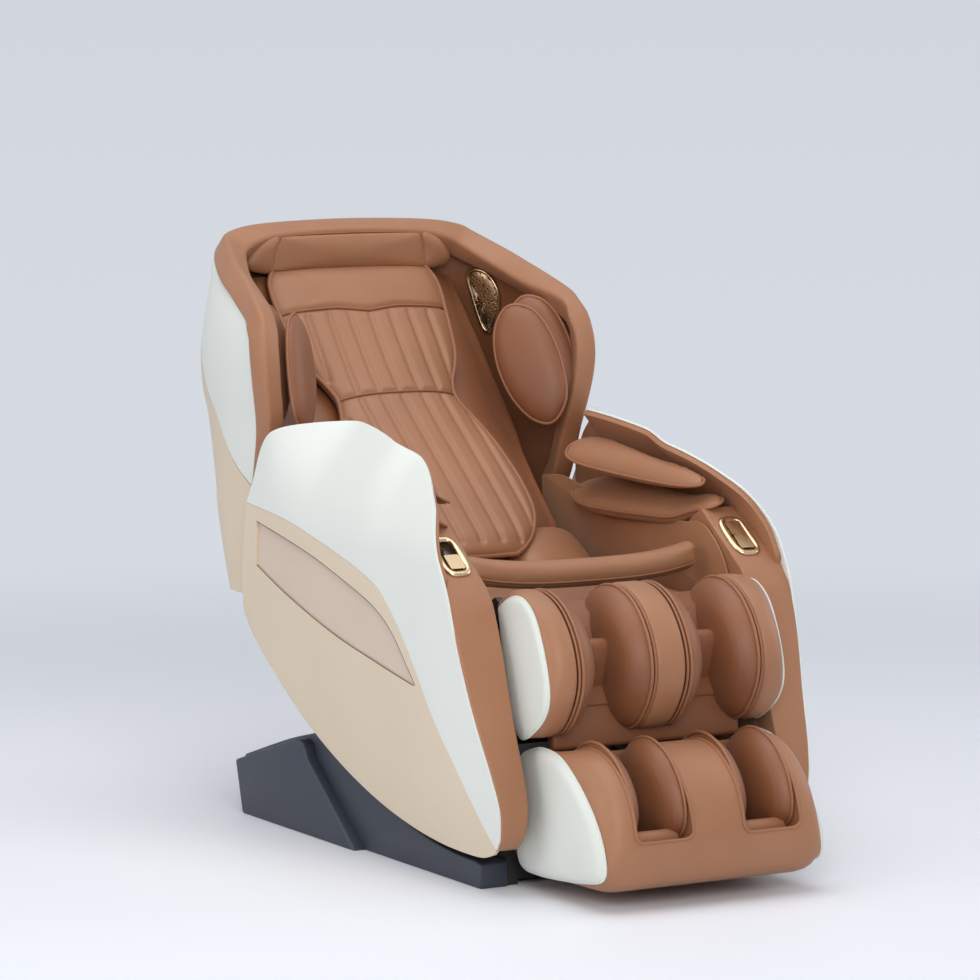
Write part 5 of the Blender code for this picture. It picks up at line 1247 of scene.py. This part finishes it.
def speaker(side, sign):
    """A pressed grille on the wing's lining, with a bright rim and ribs from near its middle."""
    wall = back_inset(SPEAKER_TURN, SPEAKER_Z, SPEAKER_DEPTH)
    facing = (back_inset(SPEAKER_TURN, SPEAKER_Z, 0.1) - wall).normalized()
    up = (Vector((0, 0, 1)) - facing * facing.z).normalized()
    across = up.cross(facing).normalized()
    if across.y > 0:
        across.negate()
    loop = smooth_loop(SPEAKER_OUTLINE, 8)

    def place(a, b, height):
        point = wall + across * a + up * b + facing * height
        return Vector((sign * point.x, point.y, point.z))

    def raised(a, b, height):
        return place(a, b, height + DOME_LIFT)

    dome_mesh = leaf_mesh(loop, raised, front=0.006, back=0.004, steps=5)
    dome = new_object(f"speaker_grille_{side}", dome_mesh, GRILLE)
    dress(dome, "backrest", "gold", f"speaker_{side}")
    rim_loop = [place(a * RIM_SCALE, b * RIM_SCALE, RIM_LIFT) for a, b in loop]
    carry(tube(f"speaker_rim_{side}", rim_loop, radius=0.0034, finish=CHAMPAGNE, closed=True), dome)
    for number in range(RIB_COUNT):
        end = loop[int(len(loop) * number / RIB_COUNT)]
        points = []
        for step in range(RIB_STEPS + 1):
            share = 0.22 + 0.7 * step / RIB_STEPS
            a = RIB_ROOT[0] + (end[0] - RIB_ROOT[0]) * share
            b = RIB_ROOT[1] + (end[1] - RIB_ROOT[1]) * share
            points.append(place(a, b, 0.0098 - 0.005 * share**2))
        carry(tube(f"speaker_rib_{side}_{number}", points, radius=0.0010, finish=CHAMPAGNE, sides=6), dome)


for side, sign in SIDES:
    speaker(side, sign)


# Leg section: calf walls and divider with puffed cheeks in two wells

LEG_LEAN = math.radians(22)
LEG_TOP = (-0.372, 0.508)
LEG_LENGTH = 0.206
LEG_DOWN = (-math.sin(LEG_LEAN), -math.cos(LEG_LEAN))
LEG_OUT = (-math.cos(LEG_LEAN), math.sin(LEG_LEAN))
LEG_BOTTOM = along(LEG_TOP, LEG_DOWN, LEG_LENGTH)
CALF_HALF_WIDTH = 0.2427
WELL_INNER = 0.029
WELL_OUTER = 0.194
WELL_BACK = 0.05
CHEEK_BULGE = 0.046
CALF_POINTS = [LEG_BOTTOM, (-0.475, 0.279), (-0.53, 0.286), (-0.572, 0.335), (-0.588, 0.39),
               (-0.573, 0.45), (-0.531, 0.503), (-0.475, 0.53), (-0.42, 0.53), LEG_TOP]
CALF_COVER_POINTS = [(-0.440, 0.298), (-0.480, 0.274), (-0.527, 0.296), (-0.560, 0.326), (-0.572, 0.358),
                     (-0.566, 0.400), (-0.545, 0.455), (-0.517, 0.500), (-0.478, 0.523), (-0.438, 0.519),
                     (-0.398, 0.497)]
calf_profile = spread(smooth(CALF_POINTS), 90)
calf_cover_edge = spread(smooth(CALF_COVER_POINTS), 90)
calf_middle = [sum(values) / len(calf_profile) for values in zip(*calf_profile)]


def toward(point, middle, share):
    """A point part of the way to another one."""
    return tuple(value + (centre - value) * share for value, centre in zip(point, middle))


def drawn_in(outline, middle, share):
    """An outline drawn in towards a point."""
    return [toward(point, middle, share) for point in outline]


def mixed(outline, other, share):
    """An outline part of the way to another one."""
    return [toward(a, b, share) for a, b in zip(outline, other)]


def leg_place(x, down, out):
    """A point down the slanted leg section and out from its back line."""
    y, z = along(along(LEG_TOP, LEG_DOWN, down), LEG_OUT, out)
    return Vector((x, y, z))


def across(name, stations, finish):
    """A padded form through (X, outline) stations."""
    return new_object(name, loft([[(x, y, z) for y, z in outline] for x, outline in stations]), finish)


def leg_outline(corners):
    """A (Y, Z) outline through points given down and out on the leg section."""
    return [tuple(leg_place(0, down, out).yz) for down, out in corners]


def white_covers(part, body, edge, middle, half_width, section, cord_out, cord_radius):
    """White hide covers on both sides of a leg piece, each with a cord round it."""
    for side, sign in SIDES:
        stations = [(sign * (half_width + x), drawn_in(edge, middle, share)) for x, share in section]
        cover = across(f"{part}_white_cover_{side}", stations, WHITE_HIDE)
        dress(cover, body, "white", f"{part}_cover_{side}")
        line = [(sign * (half_width + cord_out), y, z) for y, z in edge]
        carry(tube(f"{part}_cover_piping_{side}", line, cord_radius, WHITE_HIDE, True), cover)


def cheeks(part, body, well, shape, stand_off, bulge, back, swell, cord, joint=None):
    """Puffed cheeks on the inner and outer walls of both wells, piped along their seams."""
    for label, wall_x, direction in (("divider", well[0], 1), ("wall", well[1], -1)):
        def place(y, z, height, wall_x=wall_x, direction=direction):
            return Vector((wall_x + direction * (stand_off + height), y, z))

        # Painted shade: the cheeks take the hide painted darker
        cheek, seam = stuffed_leaf(f"{part}_{label}_cheek_right", shape, place, bulge, back, PAINTED_SHADE_LEATHER,
                                   swell)
        trims = [(f"{part}_{label}_piping", seam, cord)]
        if joint:
            outline, out, radius = joint
            line = [(wall_x + direction * out, y, z) for y, z in outline]
            trims.append((f"{part}_{label}_joint_piping", line, radius))
        both_sides(cheek, f"{part}_{label}_cheek_left", trims, body, "leather",
                   f"{part}_pad" if label == "wall" else None)


BOARD_INSET = 0.01
board = leg_outline([(0.01, 0), (LEG_LENGTH, 0), (LEG_LENGTH + 0.012, WELL_BACK), (0.05, WELL_BACK)])
# Painted shade: the calf board takes the hide painted darker
calf_back = slab("calf_back_board", board, (-CALF_HALF_WIDTH + BOARD_INSET, CALF_HALF_WIDTH - BOARD_INSET),
                 PAINTED_SHADE_LEATHER, edge=0.006)
dress(calf_back, "legrest", "leather", "calf_body")

ROUNDED_EDGE = ((0.0, 0.060), (0.0015, 0.030), (0.005, 0.010), (0.011, 0.0))
WALL_ROUNDING = ((0.212, 0.0), (0.223, 0.08), (0.232, 0.28), (0.239, 0.62), (CALF_HALF_WIDTH, 1.0))
CALF_COVER_SECTION = ((-0.002, 0.0), (0.002, 0.004), (0.005, 0.03), (0.0068, 0.08), (0.0076, 0.2))
divider_stations = [(-WELL_INNER + x, drawn_in(calf_profile, calf_middle, share))
                    for x, share in ROUNDED_EDGE]
divider_stations += [(WELL_INNER - x, outline) for (x, _), (_, outline) in
                     zip(ROUNDED_EDGE[::-1], divider_stations[::-1])]
divider = across("calf_divider", divider_stations, TAN_LEATHER)
dress(divider, "legrest", "leather")

wall_stations = [(WELL_OUTER + x, drawn_in(calf_profile, calf_middle, share)) for x, share in ROUNDED_EDGE]
wall_stations += [(x, mixed(calf_profile, calf_cover_edge, share)) for x, share in WALL_ROUNDING]
wall = across("calf_wall_right", wall_stations, TAN_LEATHER)
both_sides(wall, "calf_wall_left", (), "legrest", "leather", None)
white_covers("calf", "legrest", calf_cover_edge, calf_middle, CALF_HALF_WIDTH, CALF_COVER_SECTION,
             cord_out=0.0005, cord_radius=0.0020)
cheek_joint = (drawn_in(calf_profile, calf_middle, 0.03), 0.004, 0.0024)
cheeks("calf", "legrest", (WELL_INNER, WELL_OUTER), drawn_in(calf_profile, calf_middle, 0.025),
       stand_off=0.012, bulge=CHEEK_BULGE, back=0.010, swell=0.008, cord=0.0032, joint=cheek_joint)

CALF_REST_HALF = (0.070, 0.062, 0.020)
CALF_REST_DOWN = LEG_LENGTH / 2 + 0.05
CALF_REST_OUT = WELL_BACK + 0.002
rest_turn = Matrix.Rotation(math.radians(90) + LEG_LEAN, 4, "X")
for side, sign in SIDES:
    rest_middle = leg_place(sign * (WELL_INNER + WELL_OUTER) / 2, CALF_REST_DOWN, CALF_REST_OUT)
    rest_block = soft_block(CALF_REST_HALF, rest_middle, power=(0.7, 0.6), turn=rest_turn,
                            segments=(32, 16))
    # Painted shade: the rest pads take the hide painted darker
    rest = new_object(f"calf_rest_pad_{side}", rest_block, PAINTED_SHADE_LEATHER)
    dress(rest, "legrest", "leather")

skirt_outline = leg_outline([(0.16, 0.012), (0.286, 0.010), (0.286, 0.030), (0.25, 0.040), (0.16, 0.052)])
# Painted shade: the skirt takes the hide painted darker
skirt = slab("leg_leather_skirt", skirt_outline, (-WELL_OUTER, WELL_OUTER), PAINTED_SHADE_LEATHER, edge=0.006)
dress(skirt, "legrest", "leather")


# Foot section: a rounded shell with two wells, white side covers and puffed cheeks

FOOT_HALF_WIDTH = 0.222
FOOT_BOTTOM = 0.03
FOOT_WELL = (0.052, 0.170)
FOOT_LIP = 0.121
FOOT_FRONT = -0.7415
CORNER_DEPTH = 0.024
FRONT_SEAM_REACH = 0.214
FRONT_SEAM_DROP = 0.002
FRONT_SEAM_STEPS = 100
WELL_REAR = -0.522
ROD_END = 0.2998
ROD_OFFSET = 0.03
facet_front, facet_rear = leg_outline([(ROD_END, -ROD_OFFSET + 0.045), (ROD_END, -ROD_OFFSET - 0.035)])
FOOT_CURVE = smooth([facet_front, (-0.555, 0.259), (-0.61, 0.265), (-0.665, 0.247), (-0.714, 0.203),
                     (-0.739, 0.145), (-0.743, 0.09), (-0.727, 0.047), (-0.69, FOOT_BOTTOM)], 8)
FOOT_COVER_POINTS = [(-0.486, 0.2550), (-0.521, 0.2610), (-0.574, 0.254), (-0.627, 0.223), (-0.679, 0.177),
                     (-0.713, 0.131), (-0.729, 0.084), (-0.716, 0.058), (-0.66, 0.046), (-0.58, 0.038),
                     (-0.50, 0.034), (-0.448, 0.040), (-0.432, 0.075), (-0.428, 0.15), (-0.430, 0.215),
                     (-0.448, 0.240)]
foot_middle = (-0.585, 0.14)


def even_loop(points, count=120):
    """Evenly spaced points round a closed polyline."""
    return spread([*points, points[0]], count + 1)[:-1]


foot_profile = even_loop([*FOOT_CURVE, (-0.45, FOOT_BOTTOM), (-0.425, 0.06), facet_rear])
foot_cover_edge = even_loop(smooth_loop(FOOT_COVER_POINTS, 6))
FOOT_ROUNDING = ((0.184, 0.0), (0.197, 0.08), (0.208, 0.28), (0.216, 0.60), (FOOT_HALF_WIDTH, 1.0))
FOOT_COVER_SECTION = ((-0.002, 0.0), (0.003, 0.004), (0.008, 0.03), (0.0115, 0.09), (0.0135, 0.2))
foot_half = [(x, mixed(foot_profile, foot_cover_edge, share)) for x, share in FOOT_ROUNDING]
foot_stations = [(-x, outline) for x, outline in foot_half[::-1]] + foot_half
foot = across("foot_leather_shell", foot_stations, TAN_LEATHER)
well_outline = [(-0.52, 0.40), (-0.52, 0.080), (-0.60, 0.078), (-0.66, 0.085), (-0.70, 0.106),
                (-0.85, 0.155), (-0.85, 0.40)]
for side, sign in SIDES:
    cutter = slab("foot_well_cutter", well_outline, sorted(sign * x for x in FOOT_WELL), TAN_LEATHER,
                  edge=0.012, segments=5)
    well = foot.modifiers.new("well", "BOOLEAN")
    well.operation = "DIFFERENCE"
    well.object = cutter
    settle(foot)
    bpy.data.objects.remove(cutter)
foot.data.set_sharp_from_angle(angle=math.radians(40))
dress(foot, "footrest", "leather", "foot_shell")


def foot_front_y(x):
    """Front of the foot shell at the height of the lip, round its corners."""
    share = 0.0
    for (low, a), (high, b) in zip(FOOT_ROUNDING, FOOT_ROUNDING[1:]):
        if abs(x) > low:
            share = a + (b - a) * min((abs(x) - low) / (high - low), 1.0)
    return FOOT_FRONT + CORNER_DEPTH * share


seam_xs = [-FRONT_SEAM_REACH + 2 * FRONT_SEAM_REACH * n / FRONT_SEAM_STEPS
           for n in range(FRONT_SEAM_STEPS + 1)]
front_seam = [(x, foot_front_y(x), FOOT_LIP - FRONT_SEAM_DROP) for x in seam_xs]
carry(tube("foot_front_seam", front_seam, radius=0.0012, finish=CORD_LEATHER), foot)

# Piping round each foot well: down along the shell, across the lip and back up
lip_curve = [(y, z) for y, z in FOOT_CURVE if y < WELL_REAR and z > FOOT_LIP] + [(FOOT_FRONT, FOOT_LIP)]
LIP_CORNER = 0.016
lip_length = sum(math.dist(a, b) for a, b in zip(lip_curve, lip_curve[1:]))
LIP_STEPS = 199
lip_points = spread(lip_curve, LIP_STEPS + 1)


def lip_place(x, distance):
    """A point on the shell's top line at a distance along it."""
    y, z = lip_points[min(int(distance / lip_length * LIP_STEPS), LIP_STEPS)]
    return (x, y, z)


well_edge = [lip_place(FOOT_WELL[0], (lip_length - LIP_CORNER) * n / 60) for n in range(61)]
corner = [math.radians(9 * n) for n in range(1, 11)]
well_edge += [lip_place(FOOT_WELL[0] + LIP_CORNER * (1 - math.cos(turn)),
                        lip_length - LIP_CORNER + LIP_CORNER * math.sin(turn)) for turn in corner]
well_edge += [(FOOT_WELL[0] + FOOT_WELL[1] - x, y, z) for x, y, z in well_edge[::-1]]
for side, sign in SIDES:
    edge = [(sign * x, y, z) for x, y, z in well_edge]
    carry(tube(f"foot_well_piping_{side}", edge, radius=0.0036, finish=CORD_LEATHER), foot)

white_covers("foot", "footrest", foot_cover_edge, foot_middle, FOOT_HALF_WIDTH, FOOT_COVER_SECTION,
             cord_out=0.001, cord_radius=0.0022)
FOOT_CHEEK = smooth_loop([(-0.525, 0.10), (-0.525, 0.225), (-0.548, 0.264), (-0.60, 0.278), (-0.658, 0.260),
                          (-0.703, 0.216), (-0.722, 0.165), (-0.708, 0.124), (-0.650, 0.095),
                          (-0.58, 0.088)], 6)
cheeks("foot", "footrest", FOOT_WELL, FOOT_CHEEK, stand_off=0.005, bulge=0.038, back=0.008, swell=0.006,
       cord=0.0030)

SOLE_HALF = (0.052, 0.060, 0.012)
ROLL_PLACE = (-0.694, 0.118)
ROLL_BOW = 0.004
ROLL_STEPS = 12
ROLL_INSET = 0.014
ROLL_RADIUS = 0.016
roll_reach = FOOT_WELL[1] - FOOT_WELL[0] - 2 * ROLL_INSET
for side, sign in SIDES:
    sole_middle = (sign * sum(FOOT_WELL) / 2, -0.59, 0.097)
    sole = soft_block(SOLE_HALF, sole_middle, power=(0.6, 0.4), segments=(32, 14))
    # Painted shade: the sole pads take the hide painted darker
    sole_pad = new_object(f"foot_sole_pad_{side}", sole, PAINTED_SHADE_LEATHER)
    dress(sole_pad, "footrest", "leather")
    roll_points = [(sign * (FOOT_WELL[0] + ROLL_INSET + roll_reach * n / ROLL_STEPS),
                    ROLL_PLACE[0] - ROLL_BOW * math.sin(math.pi * n / ROLL_STEPS), ROLL_PLACE[1])
                   for n in range(ROLL_STEPS + 1)]
    roll = tube(f"foot_toe_roll_{side}", roll_points, ROLL_RADIUS, TAN_LEATHER, sides=16)
    dress(roll, "footrest", "leather")


# Base covers with their fairings

BASE_FRONT = -0.42
BASE_REAR = 0.466
COVER_INNER = 0.2363
COVER_OUTER = 0.2943
FAIRING_WIDTH = 0.024
FAIRING_SINK = 0.010
cover_outline = [(BASE_FRONT, 0.0), (BASE_FRONT, 0.044), *arc(-0.40, 0.13, COVER_ARC_RADIUS, 40),
                 *smooth([(0.21, 0.190), (0.322, 0.162), (0.497, 0.108)], 6), (BASE_REAR, 0.0)]
fairing_outline = [(0.006, 0.0),
                   *smooth([(0.195, 0.146), (0.225, 0.178), (0.318, 0.154), (0.490, 0.101)], 6),
                   (BASE_REAR - 0.004, 0.0)]
for side, sign in SIDES:
    cover = slab(f"base_charcoal_cover_{side}", cover_outline, (sign * COVER_INNER, sign * COVER_OUTER),
                 CHARCOAL_SHELL, edge=0.004, segments=3)
    dress(cover, "base", "charcoal", f"base_cover_{side}")
    fairing = slab(f"base_fairing_{side}", fairing_outline,
                   (sign * (COVER_OUTER - FAIRING_SINK), sign * (COVER_OUTER + FAIRING_WIDTH)),
                   CHARCOAL_SHELL, edge=0.005, segments=3)
    carry(fairing, cover)


# Materials of the CAD nodes that stay in view

KEPT = {
    COATED_STEEL: ("base_frame", "seat_frame", "back_frame", "legrest_frame", "foot_slide"),
    FRAME_STEEL: ("lead_screw", "knead_rocker", "tilt_rod", "legrest_rod", "recline_rod"),
    BLACK_PLASTIC: ("power_box", "power_switch", "tilt_actuator", "legrest_actuator", "recline_actuator",
                    "massage_carriage", "massage_roller_upper", "massage_roller_lower",
                    "foot_roller_shaft"),
    CHAMPAGNE: ("mode_key", "back_key", "front_key"),
    TAN_LEATHER: ("arm_body_left", "arm_body_right"),
}
for finish, names in KEPT.items():
    for name in names:
        for material_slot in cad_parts[name].material_slots:
            material_slot.material = finish


# Studio: a pale sweep, a large softbox overhead and one to the front, left and right

FLOOR_REACH = 30.0
SWEEP_START = 4.0
SWEEP_RADIUS = 3.0
SWEEP_TOP = 12.0
SWEEP_STEPS = 24


def seen_share(tree):
    """1 for rays that show a backdrop to the camera, in a mirror or through glass, and 0 for light."""
    rays = add(tree, "ShaderNodeLightPath", {})
    seen = add(tree, "ShaderNodeMath", {0: rays.outputs["Is Camera Ray"], 1: rays.outputs["Is Glossy Ray"]},
               operation="MAXIMUM")
    seen = add(tree, "ShaderNodeMath", {0: seen.outputs["Value"], 1: rays.outputs["Is Transmission Ray"]},
               operation="MAXIMUM")
    return seen.outputs["Value"]


def studio_sweep():
    """A paper floor that turns up into a backdrop: shaded near the chair; far off, for camera rays, it
    glows grey with painted shade that darkens it higher up.
    """
    material, tree, shader, place = start_material("matt_studio_paper", 0.6)
    # The paper's tone drifts over about 2500 mm
    cloud = add(tree, "ShaderNodeTexNoise", {"Vector": place, "Scale": 1 / (2500 * MM), "Detail": 1.0})
    mix = add(tree, "ShaderNodeMix", {"Factor": cloud.outputs["Fac"], 6: linear("#ECEEF4"),
                                      7: linear("#EFF1F6")}, data_type="RGBA")
    tree.links.new(mix.outputs[2], shader.inputs["Base Color"])
    parts = add(tree, "ShaderNodeSeparateXYZ", {"Vector": place})
    reach = add(tree, "ShaderNodeVectorMath", {0: place}, operation="LENGTH")
    far = add(tree, "ShaderNodeMapRange", {"Value": reach.outputs["Value"], "From Min": 1.3,
                                           "From Max": 4.4}, interpolation_type="SMOOTHSTEP")
    high = add(tree, "ShaderNodeMapRange", {"Value": parts.outputs["Z"], "From Min": 0.0, "From Max": 3.0},
               interpolation_type="SMOOTHSTEP")
    # Painted shade: the glowing backdrop is darker higher up, where less light would fall
    tone = add(tree, "ShaderNodeMix", {"Factor": high.outputs["Result"], 6: linear("#D6DAE2"),
                                       7: linear("#CDD1D7")}, data_type="RGBA")
    paper = add(tree, "ShaderNodeEmission", {"Color": tone.outputs[2], "Strength": 1.0})
    share = add(tree, "ShaderNodeMath", {0: seen_share(tree), 1: far.outputs["Result"]},
                operation="MULTIPLY")
    joined = add(tree, "ShaderNodeMixShader", {0: share.outputs["Value"], 1: shader.outputs["BSDF"],
                                               2: paper.outputs["Emission"]})
    tree.links.new(joined.outputs["Shader"], tree.nodes["Material Output"].inputs["Surface"])
    profile = [(-FLOOR_REACH, 0.0), (SWEEP_START, 0.0)]
    for step in range(1, SWEEP_STEPS + 1):
        turn = math.pi / 2 * step / SWEEP_STEPS
        profile.append((SWEEP_START + SWEEP_RADIUS * math.sin(turn),
                        SWEEP_RADIUS - SWEEP_RADIUS * math.cos(turn)))
    profile.append((SWEEP_START + SWEEP_RADIUS, SWEEP_TOP))
    rows = [[(x, y, z) for x in (-FLOOR_REACH, FLOOR_REACH)] for y, z in profile]
    sweep = in_scene("studio_sweep", grid_mesh(rows), material)
    sweep.data.shade_smooth()
    sweep.rotation_euler.z = math.radians(-30)


def soft_light(name, place, target, size, power):
    """A white softbox turned to a target."""
    lamp = bpy.data.lights.new(name, "AREA")
    lamp.shape = "RECTANGLE"
    lamp.size, lamp.size_y = size
    lamp.energy = power
    light = bpy.data.objects.new(name, lamp)
    scene.collection.objects.link(light)
    light.location = place
    light.rotation_euler = (Vector(target) - Vector(place)).to_track_quat("-Z", "Y").to_euler()


studio_sweep()
world = bpy.data.worlds.new("studio_world")
world.use_nodes = True
world_tree = world.node_tree
light_air = world_tree.nodes["Background"]
light_air.inputs["Color"].default_value = linear("#E6EAF2")
light_air.inputs["Strength"].default_value = 0.30
seen_air = add(world_tree, "ShaderNodeBackground", {"Color": linear("#D2D6DD"), "Strength": 1.0})
air = add(world_tree, "ShaderNodeMixShader", {0: seen_share(world_tree), 1: light_air.outputs["Background"],
                                              2: seen_air.outputs["Background"]})
world_tree.links.new(air.outputs["Shader"], world_tree.nodes["World Output"].inputs["Surface"])
scene.world = world
soft_light("top_softbox", (-0.4, -0.3, 4.2), (0, 0, 0.5), (4.0, 4.0), 102)
soft_light("front_softbox", (-2.2, -5.0, 2.6), (0, 0, 0.6), (3.0, 2.4), 124)
soft_light("left_softbox", (-5.0, 0.4, 2.2), (0, 0, 0.6), (3.0, 2.4), 66)
soft_light("right_softbox", (4.2, -1.2, 2.4), (0, 0, 0.6), (2.4, 2.4), 40)
